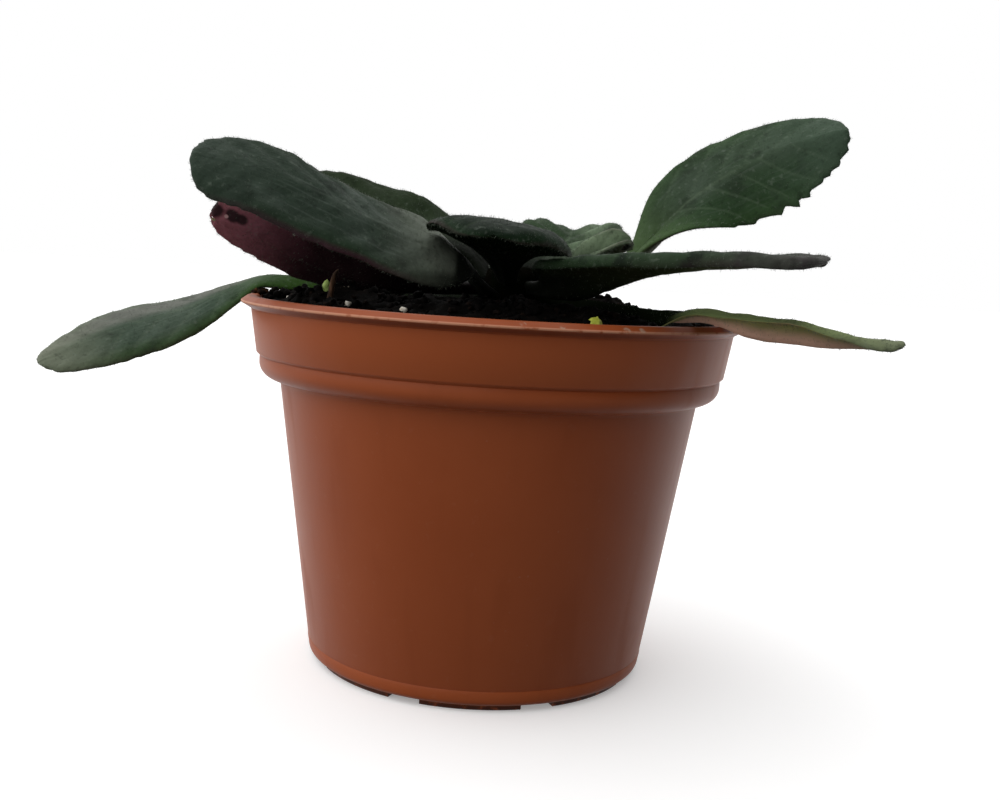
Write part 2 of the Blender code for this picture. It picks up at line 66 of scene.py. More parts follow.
DRAIN_OUTER = 26 * MM
SHELF_HEIGHT = POT_HEIGHT - COLLAR_HEIGHT
GROOVE_HEIGHT = SHELF_HEIGHT + BAND_HEIGHT
LIP_START = POT_HEIGHT - LIP_HEIGHT

# Marks on the pot, as (place, radius) in millimetres: crumbs on the lip, and dark spots
LIP_CRUMBS = (((4.5, -45.2, 65.9), .64), ((10.4, -44.5, 65.8), .56), ((20.5, -41, 65.9), .8),
              ((23, -39.6, 65.9), .72))
DARK_SPOTS = (((5.3, -33.5, 5.6), .75), ((5.6, -38.3, 28.6), .55), ((34.5, -28, 59.5), .8),
              ((-40.5, -15.5, 61.8), .7), ((-35.2, -24.6, 61), .6), ((29, -25, 34), .4))

# Soil: heaped towards the crown, with a trough under each leaf that lies low. Its edge is as wide
# as the collar at a share of the collar's height.
CLEARANCE = 0.3 * MM
SOIL_EDGE_HEIGHT = 64.3 * MM
COLLAR_SHARE = 0.8
SOIL_HEAP = 3.4 * MM
HEAP_FLATNESS = 4
LUMP_HEIGHT = 1.5 * MM
LUMP_SIZE = 6 * MM
CRUMB_RELIEF = 0.55 * MM
SOIL_RINGS = 96
SOIL_SIDES = 240
TROUGH_CLEARANCE = 0.5 * MM
TROUGH_REACH = 1.6 * MM

# Mounds and hollows in the soil, as (place, spread, height) in millimetres
SOIL_MOUNDS = (((20.5, 2), 6, 1.9), ((-32, -3), 5.5, 1.6), ((-8, 13), 10, 2.5),
               ((-27, -14), 6, 1.9), ((-36, 14), 6, 3.6), ((30, 6), 7, -2.2), ((-40, 3), 5.5, 2.2))

# Loose grains lie between two distances from the axis and clear of the crown. Each one's place is
# found by a fall from DROP_HEIGHT.
GRAINS_FROM = 6 * MM
GRAINS_TO = 42.5 * MM
GRAINS_OFF_CROWN = 1 * MM
DROP_HEIGHT = 200 * MM

# Loose grains with a place of their own, in millimetres: perlite, crumbs on the left of the rim,
# and clods beside them
PERLITE_SPOTS = ((-37.5, -16.5), (-31.5, -23.5), (-24, -26), (-14.3, -32), (-11.6, -33.5))
RIM_CRUMBS = ((-44.6, .4), (-44.2, 1.3), (-44.5, 2.2), (-43.9, 2.9), (-44.3, 4), (-44.6, -.6),
              (-43.6, 3.8), (-43.6, 5.2), (-43.8, .8), (-43.9, 1.9), (-44, 6.2), (-43.2, -.4),
              (-43, .7), (-43.4, -1.4), (-42.8, 1.8))
EDGE_CLODS = ((-42.6, -1), (-41.7, -1.9), (-40.8, -1.4), (-40, -2.2), (-39.1, -1.5), (-38.2, -2.3))

# Crown: the short stem that the leaf stalks leave
CROWN_PLACE = (3 * MM, 0.2 * MM)
CROWN_RADIUS = 4.8 * MM
CROWN_TOP = 74.2 * MM
CROWN_FOOT = 60 * MM
CROWN_ROUNDING = 2 * MM
CROWN_ROWS = 30
CROWN_SIDES = 96

# How each leaf is built up along and across. A number without a unit is a count, or a share of
# the leaf's length, half width or thickness. Side veins lean towards the tip by VEIN_SLANT, and
# by VEIN_BEND more for each metre outwards.
LEAF_ROWS = 118
TIP_ROWS = 22
TIP_START = 0.94
COLUMNS = 41
TOOTH_SPACING = 6.2 * MM
TIP_SPACING = 2.4 * MM
TOOTH_START = 0.3
TOOTH_PEAK = 0.78
TOOTH_DEPTH = 0.095
ANGLES_FROM = 0.25
BLADE_THICKNESS = 1.1 * MM
MARGIN_THINNING = 0.38
STALK_THICKNESS = 2 * MM
KEEL_DEPTH = 1.2 * MM
KEEL_WIDTH = 0.22
TIP_ROUNDING = 0.032
MARGIN_ROUNDING = 0.1
END_ROUNDING = 0.015
BEND_STEPS = 24
FINE_STEPS = 201
WAVES = 2.5
VEIN_SPACING = 6.2 * MM
VEIN_SLANT = 0.95
VEIN_BEND = 26
VEIN_WIDTH = 0.42 * MM
MIDRIB_WIDTH = 0.65 * MM
LEAF_LUMP_SIZE = 5 * MM
LEAF_LUMP_HEIGHT = 0.22 * MM
PIMPLE_SIZE = 1.5 * MM
PIMPLE_HEIGHT = 0.05 * MM

# A leaf's width as (place from stalk to tip, share of its half width). The blade starts at STALK.
STALK = 0.24
ROUND_TIP = ((.72, .97), (.82, 1), (.91, .88), (.97, .58), (1, .26))
SPOON = ((0, .13), (.12, .16), (STALK, .22), (.34, .38), (.46, .63), (.60, .85), *ROUND_TIP)
WEDGE = ((0, .16), (.12, .30), (STALK, .42), (.34, .52), (.46, .67), (.60, .86), *ROUND_TIP)
WINGED = ((0, .13), (.12, .24), (STALK, .42), (.34, .52), (.46, .64), (.60, .84), *ROUND_TIP)
BROAD = ((0, .14), (.12, .20), (STALK, .34), (.30, .52), (.40, .76), (.52, .92),
         (.66, 1), (.80, .98), (.91, .84), (.97, .55), (1, .26))
BLUNT = ((0, .14), (.12, .18), (STALK, .28), (.27, .55), (.32, .82), (.39, .96),
         (.50, 1), (.82, 1), (.92, .93), (.97, .72), (1, .34))
OVAL = ((0, .14), (.12, .24), (STALK, .46), (.32, .68), (.42, .88), (.54, 1),
        (.68, .98), (.80, .86), (.90, .66), (.96, .46), (1, .24))
TAPER = ((0, .16), (.12, .30), (STALK, .42), (.34, .52), (.46, .68), (.60, .88),
         (.70, .98), (.80, .96), (.90, .76), (.96, .54), (1, .28))

# Hairs: they grow from just under the skin
HAIR_LENGTH = 0.48 * MM
CROWN_HAIR_LENGTH = 0.8 * MM
HAIR_HALF_WIDTH = 0.022 * MM
HAIR_ROOT = 0.04 * MM

# Where the rosette shuts the light out, for the leaves and for their hairs, as (place, radius)
# in millimetres
LEAF_DEPTHS = ((3, -6, 64), 34)
HAIR_DEPTHS = ((7, -3, 66), 21)

# Damage at the tip of the left middle leaf, as (place, radius, colour) in millimetres, and the
# hole through it, with how much a distance from its middle counts along X, Y and Z
TIP_DAMAGE = (((-49.1, -14, 80.8), 2.1, (26, 16, 18)), ((-46, -14.1, 79.9), 1.9, (26, 16, 18)),
              ((-44.4, -14.1, 79.4), 1.5, (30, 18, 20)),
              ((-47.2, -13.9, 79.8), .5, (190, 150, 150)),
              ((-49.7, -12.6, 79.2), .6, (176, 180, 130)))
TIP_HOLE = (-49.9, -11.5, 79.9)
TIP_HOLE_RADIUS = 0.45 * MM
TIP_HOLE_FORM = (1, .3, 1.5)

# The painted shade of the hollow in the young leaf and the pale ring round it, in millimetres
HOLLOW = (23.7, -2.7, 79)
HOLLOW_SHADE_RADIUS = 1.25
RING_RADIUS = 1.9

# The light of the surround: behind the plant, from above, from the left and from all round. The
# floor reaches FLOOR_HALF metres to each side, and FLOOR_GREYS are its two greys as they're seen.
BACK_LIGHT = 0.94
TOP_LIGHT = 0.5
LEFT_LIGHT = 1.5
LEFT_LIGHT_FROM = (-.86, -.38, .34)
DIM_LIGHT = 0.06
FLOOR_HALF = 4.0
FLOOR_GLOW = 0.26
FLOOR_GREYS = (241.05, 243.45)

# The photograph's view: how far the camera looks down, aside and is tilted, in radians, where it
# stands, and the width of its sensor and its lens in millimetres
LOOKING_DOWN = 0.118
LOOKING_ASIDE = 0.0102
TILT = 0.0612
CAMERA_PLACE = (0, -217.5 * MM, 74.9 * MM)
SENSOR = 36
LENS = 41.82
NEAREST_SEEN = 10 * MM


def seen(red, green, blue):
    """A colour as it's seen, from 0 to 255 each, as the amounts of light that it sends back."""
    return tuple((c / 255 / 12.92 if c <= 10 else ((c / 255 + .055) / 1.055) ** 2.4)
                 for c in (red, green, blue))


@dataclass
class Skin:
    """The colours and the gloss of one leaf.

    Upper and bloom lie in clouds over the upper face, with darker blotches as strong as blotch
    says, and under and under_cloud over the underside. Under_band says between which shares of
    the half width the underside takes on under_margin. Flush tints the upper margin from the
    place flush_from on. The stalk's colour ends between the places in stalk_to, or else near the
    blade's start; a near-black stalk colour is painted shade of the rosette's middle, and the
    left upper leaf's pale stalk is painted light. The right half of the upper face and the tip,
    from tip_from on, can have a colour of their own. Gloss is how much light the skin mirrors,
    and glow is painted light: an emission that stands for the light shining through a thin blade
    from behind. Between the heights in shade, in millimetres, the stalk end gets painted shade
    downwards, where the rosette shuts the light out, and where X is more than dark_beyond all of
    the leaf is as dark.
    """
    upper: tuple = (44, 56, 44)
    bloom: tuple = (66, 76, 66)
    blotch: float = .5
    right_half: tuple = None
    margin: tuple = (46, 62, 40)
    midrib: tuple = (62, 76, 56)
    stalk: tuple = (50, 64, 40)
    stalk_to: tuple = None
    under: tuple = (62, 58, 46)
    under_cloud: tuple = (52, 62, 40)
    under_margin: tuple = (74, 72, 58)
    under_band: tuple = (.8, 1)
    flush: tuple = (92, 60, 76)
    flush_amount: float = .25
    flush_from: float = .5
    tip: tuple = None
    tip_from: float = .8
    gloss: float = .05
    glow: float = 0
    shade: tuple = (74, 81)
    dark_beyond: float = None


@dataclass
class Leaf:
    """One leaf, in millimetres and degrees.

    The midrib runs from the stalk's foot to the tip, and facing is the way that the upper face
    looks, at even steps along it. From blade_start on, the stalk turns into blade, over a share
    of the length that spread gives. Outline is one of the tables of widths, and right_width is
    how wide the right half is against it, at even steps along the leaf. Fold is how far the left
    and the right half rise from the midrib, and curl is how far their margins bend back, from the
    share of the half width that curl_start gives. Each is one angle or several, at even steps
    from ANGLES_FROM to the tip. Wave is how high the margins wave. Teeth says how deep the teeth
    are on the left and the right margin, pucker how high the blade swells between its side
    veins, and hairs how many it has.
    """
    name: str
    midrib: tuple
    facing: tuple
    half_width: float
    blade_start: float
    fold: tuple
    curl: tuple
    wave: float = 0.4
    outline: tuple = SPOON
    curl_start: float = 0.55
    spread: float = 0.3
    right_width: tuple = (1,)
    teeth: tuple = (.3, .3)
    pucker: float = 0.07
    hairs: int = 3600
    skin: Skin = field(default_factory=Skin)


@dataclass
class Stick:
    """A stick in the soil, in millimetres, with its colours. Dryness makes it duller."""
    name: str
    path: tuple
    radius: float
    dark: tuple
    light: tuple
    dryness: float = 0


# What the two hidden leaves at the back share
HIDDEN_LEAF = dict(facing=((0, 0, 1), (0, 0, 1)), half_width=11.5, blade_start=.25,
                   fold=(10, 10), curl=(40, 40), wave=.5, outline=WEDGE, teeth=(.7, .7))

LEAVES = (
    Leaf("leaf_right_upper",
         midrib=((7.8, 2.3, 70.5), (14.5, 4.5, 71.8), (22, 6, 72), (29, 8, 79.5), (36.5, 9, 88.5),
                 (46.5, 8, 96), (56, 6, 100.5), (64, 3, 103)),
         facing=((0, 0, 1), (-.5, -.4, 1), (-.5, -.8, .6), (-.3, -.8, .6), (-.3, -.8, .6)),
         half_width=9.3, blade_start=.34, fold=((22, 8, -26), (60, -18, -20)), curl=(16, 10),
         wave=.5, right_width=(1, 1, 1, 1.1, 1.25, .85), outline=BROAD, teeth=(.25, 1),
         skin=Skin(upper=(54, 70, 52), bloom=(76, 88, 76), margin=(50, 74, 42),
                   right_half=(36, 58, 32), stalk=(64, 84, 50), midrib=(96, 112, 90),
                   flush_amount=.1, tip=(62, 78, 64), tip_from=.7, blotch=.65)),
    # Its near-black stalk, up to where the blade turns pink, is painted shade.
    Leaf("leaf_right_lower",
         midrib=((8.2, -1.8, 68.6), (17, -8, 68.1), (27, -16, 67.5), (35.5, -23.2, 68.1),
                 (38.3, -25.6, 67.5), (41.5, -27.8, 66.3), (46, -30, 65.7), (51, -32, 65.5),
                 (57.5, -34.5, 65.6), (64.3, -37, 66.1)),
         facing=((0, 0, 1), (0, 0, 1), (.1, -.25, 1)),
         half_width=9.5, blade_start=.3, fold=((0, -4, -14), (-36, -36, 6, 30, 32, 20, 6)),
         curl=((10, 10, 20), (20, 50, 30)), wave=.2, outline=WINGED,
         skin=Skin(upper=(144, 156, 112), bloom=(160, 170, 134), margin=(128, 146, 90), blotch=.7,
                   under=(216, 176, 153), under_cloud=(206, 160, 143), gloss=0,
                   under_margin=(112, 130, 64), under_band=(.1, .6), stalk=(14, 20, 9),
                   stalk_to=(.44, .56), flush_amount=.1, tip=(112, 118, 98), tip_from=.78,
                   glow=.11)),
    # Its near-black stalk is painted shade.
    Leaf("leaf_front_right",
         midrib=((6.6, -3.9, 70.5), (9.5, -12, 70.3), (15, -21.5, 71), (19.5, -27.5, 73.1),
                 (25, -32.5, 75.4), (37.5, -40.5, 77.2), (48.5, -46, 77.9)),
         facing=((0, 0, 1), (0, 0, 1), (0, -.1, 1)),
         half_width=11.2, blade_start=.15, spread=.14,
         fold=((20, 14, 4, 2, 2), (40, 26, 16, 10, 8, 7, 6)),
         curl=((20, 30, 30), (110, 115, 90)), wave=.2, outline=BLUNT, curl_start=.72,
         skin=Skin(upper=(30, 46, 30), bloom=(62, 74, 60), margin=(44, 60, 40), under=(34, 38, 20),
                   under_cloud=(32, 42, 22), under_margin=(36, 46, 26), stalk=(10, 14, 7),
                   tip=(70, 66, 66), tip_from=.7, stalk_to=(.2, .3), shade=(72.5, 74.5),
                   blotch=1)),
    # Its near-black stalk is painted shade.
    Leaf("leaf_front",
         midrib=((2.2, -5.4, 71.6), (1.2, -11, 76), (1, -18, 79.8), (.8, -26, 81.2),
                 (0, -33, 80.8), (-.8, -38, 79)),
         facing=((.1, 0, 1), (.1, 0, 1)),
         half_width=12.8, blade_start=.26, fold=(-3, -4), curl=(56, 30), outline=OVAL,
         curl_start=.5,
         skin=Skin(upper=(18, 30, 19), bloom=(28, 40, 30), margin=(26, 46, 26), under=(5, 14, 3),
                   under_cloud=(7, 24, 4), under_margin=(22, 36, 20), stalk=(6, 9, 4),
                   shade=(74, 78))),
    # Its pale stalk is painted light, where the leaf in front shades it.
    Leaf("leaf_left_upper",
         midrib=((0, -4.9, 68.5), (-3, -11, 71), (-7.6, -18.5, 76.3), (-16.5, -24.5, 78.6),
                 (-27, -30, 83), (-37.5, -33, 87), (-48, -35, 88.5)),
         facing=((.2, -.1, .9), (.4, -.6, .7), (.4, -.6, .7), (.3, -.7, .75)),
         half_width=9.4, blade_start=.2, spread=.14, fold=(-4, -12), curl=(18, 18),
         outline=BLUNT, teeth=(.3, .6),
         skin=Skin(upper=(40, 54, 42), bloom=(86, 96, 88), margin=(24, 46, 20),
                   midrib=(86, 96, 86), stalk=(110, 116, 104), stalk_to=(.22, .56), blotch=.8,
                   flush=(70, 38, 52), flush_amount=.75, flush_from=.25, tip=(46, 58, 48),
                   tip_from=.6, shade=(71.5, 73.5), dark_beyond=-7.4)),
    Leaf("leaf_left_middle",
         midrib=((-2.2, -2.2, 70), (-11.5, -5, 69.6), (-20.5, -8, 70.2), (-31.5, -10, 73.4),
                 (-41.5, -12, 77.5), (-50, -13, 80.5)),
         facing=((0, .1, 1), (0, .6, 1), (0, .7, .8)),
         half_width=7.8, blade_start=.2, fold=(6, 0), curl=(15, 15), outline=WEDGE,
         right_width=(1, 1, 1, 1, .93, .8), teeth=(.5, .6),
         skin=Skin(under=(134, 84, 94), under_cloud=(146, 92, 106), under_margin=(150, 100, 108),
                   stalk=(20, 12, 12), tip=(160, 100, 108), tip_from=.8, glow=.03)),
    Leaf("leaf_left_lower",
         midrib=((-2.7, 1.2, 67.8), (-15, 4, 67.2), (-28, 5.5, 68), (-39, 5, 68.8),
                 (-44.5, 4.5, 68.6), (-48.5, 3.6, 66.7), (-59, -2, 61.6), (-68, -7, 58.2),
                 (-79.2, -14, 52.4)),
         facing=((0, 0, 1), (0, -.3, 1), (0, -.6, 1), (0, -.3, 1), (0, -.6, 1), (0, -.72, 1),
                 (0, -.75, 1)),
         half_width=8, blade_start=.43, fold=((-2, -4, 8, 2, -2, -2), (-14, -13, -8, -6, -6, -8)),
         curl=(35, 40), wave=.3, outline=TAPER,
         skin=Skin(upper=(56, 72, 58), bloom=(86, 98, 86), margin=(58, 84, 42),
                   right_half=(118, 118, 112), tip=(112, 118, 100), tip_from=.8,
                   stalk=(44, 70, 24), midrib=(96, 108, 88), flush_amount=.15,
                   under=(30, 44, 16), under_cloud=(36, 50, 20), stalk_to=(.39, .65))),
    Leaf("leaf_left_back",
         midrib=((-1.8, 2.8, 71.2), (-4.8, 6.5, 75.6), (-11, 9, 79.8), (-19.5, 11, 82),
                 (-29.5, 13, 84), (-37.5, 14, 85.4), (-44.5, 15, 86.6)),
         facing=((.2, -.1, .9), (.4, -.6, .7), (.4, -.6, .7)),
         half_width=10.6, blade_start=.12, fold=(4, 4), curl=(20, 20), outline=BROAD,
         skin=Skin(upper=(36, 48, 30), bloom=(48, 58, 42), margin=(38, 50, 30),
                   midrib=(50, 62, 42), stalk=(20, 28, 14), shade=(77, 81), gloss=.02)),
    # Its paler right half is painted light, on the half that curls down away from the light.
    Leaf("leaf_back_right",
         midrib=((5.4, 4.8, 71.3), (9, 11, 75.5), (14, 20, 79.5), (15.5, 28, 82), (17, 38, 80.5)),
         facing=((-.12, -.5, 1), (-.03, -.4, 1), (0, 0, 1)),
         half_width=12, blade_start=.12, fold=(14, 12), curl=(70, 66), outline=BROAD,
         pucker=.5, hairs=7000,
         skin=Skin(upper=(42, 60, 38), bloom=(68, 84, 62), margin=(52, 68, 46),
                   right_half=(112, 130, 104), midrib=(80, 96, 72), stalk=(40, 52, 34))),
    Leaf("leaf_back",
         midrib=((2.6, 5.6, 69.4), (2, 14, 71), (0, 28, 73.5), (-2, 42, 74), (-3, 55, 70)),
         **HIDDEN_LEAF),
    Leaf("leaf_back_left",
         midrib=((-.9, 4.5, 69.4), (-11, 14, 70.4), (-22, 26, 72.5), (-32, 38, 73), (-40, 48, 70)),
         **HIDDEN_LEAF),
    Leaf("leaf_young",
         midrib=((7.7, -.2, 73), (13, -.5, 74.5), (18, -1, 77.2), (25, -1, 79.4)),
         facing=((-.3, -.5, 1), (-.3, -.8, .8)),
         half_width=3.9, blade_start=.2, fold=((20, 36, 66), (20, 36, 66)), curl=(10, 10), wave=.1,
         hairs=1800,
         skin=Skin(upper=(100, 118, 90), bloom=(118, 134, 108), margin=(112, 128, 102),
                   under=(120, 138, 110), under_cloud=(104, 122, 94),
                   under_margin=(122, 138, 112), stalk=(90, 106, 78))),
)

# What else stands in the soil: a dead stalk, a bud and the stub of a shoot
STICKS = (
    Stick("dead_stalk", ((-28.4, -19.4, 61.5), (-27.8, -20, 67), (-27.1, -20.2, 71),
                         (-26.6, -20, 72)), .5, (40, 26, 18), (98, 72, 52), dryness=.35),
    Stick("bud", ((-29.6, -15.4, 61.5), (-29.5, -15.2, 66), (-29.1, -15, 70)), .8,
          (150, 176, 92), (178, 200, 120)),
    Stick("shoot", ((15.6, -35.5, 61.5), (15.7, -35.6, 65), (16.2, -35.8, 67.2)), 1.35,
          (150, 156, 50), (190, 196, 84)),
)
STICK_SIDES = 32
STICK_ROWS = 40


def ease(x, low, high):
    """0 below low, 1 above high, and a smooth step between them."""
    t = np.clip((x - low) / (high - low), 0, 1)
    return t * t * (3 - 2 * t)


def arc(centre, radius, start, end, count):
    """Points along an arc, from a start to an end angle in degrees."""
    angles = [math.radians(start + (end - start) * k / (count - 1)) for k in range(count)]
    return [(centre[0] + radius * math.cos(a), centre[1] + radius * math.sin(a)) for a in angles]


def hermite(knots, values, tangents, x):
    """The smooth curve with these values and tangents at its knots, read at x."""
    i = np.clip(np.searchsorted(knots, x, side="right") - 1, 0, len(knots) - 2)
    run = np.diff(knots)[i]
    t = (x - knots[i]) / run
    if values.ndim > 1:
        run, t = run[:, None], t[:, None]
    start = (1 + 2 * t) * (1 - t) ** 2 * values[i] + t * (1 - t) ** 2 * run * tangents[i]
    end = t * t * (3 - 2 * t) * values[i + 1] + t * t * (t - 1) * run * tangents[i + 1]
    return start + end


def curve_through(table, x):
    """A curve through (place, value) pairs that doesn't overshoot them."""
    place, value = np.array(table, float).T
    slope = np.diff(value) / np.diff(place)
    before, after = slope[:-1], slope[1:]
    inner = np.zeros(len(before))
    same_way = before * after > 0
    inner[same_way] = 2 * (before * after)[same_way] / (before + after)[same_way]
    return hermite(place, value, np.concatenate([slope[:1], inner, slope[-1:]]), x)


def spline(points, fractions):
    """Points at fractions of the length of a smooth curve through the given points."""
    points = np.array(points, float)
    run = np.sqrt(np.linalg.norm(np.diff(points, axis=0), axis=1))[:, None]
    speed = np.diff(points, axis=0) / run
    inner = (speed[1:] * run[:-1] + speed[:-1] * run[1:]) / (run[1:] + run[:-1])
    tangents = np.concatenate([speed[:1], inner, speed[-1:]])
    knots = np.concatenate([[0], np.cumsum(run)])
    fine = hermite(knots, points, tangents, np.linspace(0, knots[-1], 300))
    length = np.concatenate([[0], np.cumsum(np.linalg.norm(np.diff(fine, axis=0), axis=1))])
    places = np.asarray(fractions) * length[-1]
    return np.stack([np.interp(places, length, fine[:, axis]) for axis in range(3)], axis=-1)


def unit(vectors):
    return vectors / np.maximum(np.linalg.norm(vectors, axis=-1, keepdims=True), 1e-12)


def rough(points, size, octaves=3, seed=0):
    """A gentle random height at each point, with lumps of about this size."""
    flat = points.reshape(-1, 3) / size + seed * 7.3
    values = [noise.fractal(Vector(p), 1.0, 2.0, octaves) for p in flat]
    return np.array(values).reshape(points.shape[:-1])


class Mark:
    """A value, colour or direction that changes over a surface: one node's output."""

    def __init__(self, tree, socket=None):
        self.tree, self.socket = tree, socket

    def make(self, kind, settings, values, output=0):
        """An output of a new node, which gets its settings first and then its inputs."""
        node = self.tree.nodes.new(kind)
        for name, value in settings.items():
            setattr(node, name, value)
        for key, value in values.items():
            if isinstance(value, Mark):
                self.tree.links.new(value.socket, node.inputs[key])
            else:
                node.inputs[key].default_value = value
        return Mark(self.tree, node.outputs[output])

    def maths(self, operation, first, second=0.0):
        return self.make("ShaderNodeMath", {"operation": operation}, {0: first, 1: second})

    def __add__(self, other):
        return self.maths("ADD", self, other)

    def __sub__(self, other):
        return self.maths("SUBTRACT", self, other)

    def __rsub__(self, other):
        return self.maths("SUBTRACT", other, self)

    def __mul__(self, other):
        return self.maths("MULTIPLY", self, other)

    def __abs__(self):
        return self.maths("ABSOLUTE", self)

    __radd__ = __add__
    __rmul__ = __mul__

    def step(self, low, high):
        """0 where this is below low, 1 where it's above high, smooth between them."""
        return self.make("ShaderNodeMapRange", {"interpolation_type": "SMOOTHSTEP"},
                         {"Value": self, "From Min": low, "From Max": high})

    def between(self, low, full, until, high):
        """1 where this is from full to until, 0 below low and above high, smooth between them."""
        return self.step(low, full) * (1 - self.step(until, high))

    def part(self, axis):
        """One coordinate of a place."""
        return self.make("ShaderNodeSeparateXYZ", {}, {"Vector": self}, axis)

    def blend(self, first, second, share):
        """A colour between two, each one a mark, or red, green and blue as they're seen."""
        first, second = (colour if isinstance(colour, Mark) else (*seen(*colour), 1)
                         for colour in (first, second))
        return self.make("ShaderNodeMix", {"data_type": "RGBA"},
                         {"Factor": share, "A": first, "B": second}, "Result")

    def coated(self, *coats):
        """This colour under thin coats of others, each one as its colour and a share up to 1."""
        colour = self
        for shade, share in coats:
            colour = self.blend(colour, shade, share)
        return colour


class Finish:
    """A material with its shader, and the places and marks that its colours are worked out from."""

    def __init__(self, name, **constants):
        self.material = bpy.data.materials.new(name)
        self.material.use_nodes = True
        tree = self.material.node_tree
        self.shader = tree.nodes["Principled BSDF"]
        self.mark = Mark(tree)
        for socket, value in constants.items():
            self.shader.inputs[socket.replace("_", " ")].default_value = value
        self.place = self.mark.make("ShaderNodeTexCoord", {}, {}, "Object")

    def blend(self, first, second, share):
        return self.mark.blend(first, second, share)

    def grain(self, size, detail=3.0, stretch=None, distortion=0.0):
        """Noise from 0 to 1 with lumps of about this size in metres."""
        place = self.place
        if stretch:
            place = self.mark.make("ShaderNodeVectorMath", {"operation": "MULTIPLY"},
                                   {0: place, 1: stretch})
        return self.mark.make("ShaderNodeTexNoise", {},
                              {"Vector": place, "Scale": .5 / size, "Detail": detail,
                               "Distortion": distortion})

    def lengthwise(self, along, across):
        """Noise from 0 to 1 in fine lines that run from a leaf's stalk to its tip."""
        place = self.mark.make("ShaderNodeCombineXYZ", {}, {"X": along * 2, "Y": across * 9})
        return self.mark.make("ShaderNodeTexNoise", {},
                              {"Vector": place, "Scale": 1.6, "Detail": 4.0})

    def cells(self, size):
        """How far each place is from the nearest of many points, this size apart in metres."""
        return self.mark.make("ShaderNodeTexVoronoi", {}, {"Vector": self.place, "Scale": 1 / size})

    def stored(self, name):
        """A value that the mesh carries at its points."""
        return self.mark.make("ShaderNodeAttribute", {"attribute_name": name}, {}, "Fac")

    def near(self, centre, radius, wobble=None):
        """1 at a place in millimetres, fading to 0 at this distance from it."""
        radius = radius * MM
        gap = self.mark.make("ShaderNodeVectorMath", {"operation": "DISTANCE"},
                             {0: self.place, 1: tuple(c * MM for c in centre)}, "Value")
        if wobble:
            gap = gap + (wobble - .5) * radius
        return 1 - gap.step(radius * .55, radius)

    def set(self, colour, roughness=None, relief=None, depth=.1 * MM, strength=1.0, glow=None):
        """Links what changes over the surface to the shader. Relief is a height from 0 to 1."""
        normal = relief and self.mark.make(
            "ShaderNodeBump", {}, {"Height": relief, "Distance": depth, "Strength": strength})
        for socket, mark in (("Base Color", colour), ("Roughness", roughness),
                             ("Normal", normal), ("Emission Color", glow)):
            if mark:
                self.mark.tree.links.new(mark.socket, self.shader.inputs[socket])
        return self.material


def add_object(name, data):
    """An object with this mesh or camera, put in the scene."""
    added = bpy.data.objects.new(name, data)
    bpy.context.scene.collection.objects.link(added)
    return added


def make_mesh(name, points, faces):
    """A mesh that no object has yet."""
    mesh = bpy.data.meshes.new(name)
    mesh.from_pydata(points, [], faces)
    return mesh


def place_piece(name, points, faces, material, slot, stands_for=None, values=None, smooth=True):
    """A mesh piece of the object, with the values that it carries at its points."""
    mesh = make_mesh(name, np.asarray(points, float).tolist(), faces)
    for key, numbers in (values or {}).items():
        layer = mesh.attributes.new(key, "FLOAT", "POINT")
        layer.data.foreach_set("value", np.asarray(numbers, np.float32).ravel())
    if smooth:
        mesh.shade_smooth()
    mesh.materials.append(material)
    piece = add_object(name, mesh)
    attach(piece, "root")
    if stands_for:
        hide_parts(stands_for)
    return piece


def tube_faces(rings, sides):
    """Faces of a closed tube whose points are its two ends and then its rings, in order."""
    last = 2 + (rings - 1) * sides
    faces = []
    for k in range(sides):
        after = (k + 1) % sides
        faces.append((0, 2 + after, 2 + k))
        for low in range(2, last, sides):
            high = low + sides
            faces.append((low + k, low + after, high + after, high + k))
        faces.append((1, last + k, last + after))
    return faces


def turned(outline, sides, centre=(0, 0)):
    """Points and faces of a solid turned about a vertical axis.

    The outline runs from the axis at the bottom, up the outside, and back to the axis.
    """
    points = [(*centre, outline[0][1]), (*centre, outline[-1][1])]
    rings = outline[1:-1]
    for radius, height in rings:
        for k in range(sides):
            angle = 2 * math.pi * k / sides
            x = centre[0] + radius * math.cos(angle)
            y = centre[1] + radius * math.sin(angle)
            points.append((x, y, height))
    return points, tube_faces(len(rings), sides)


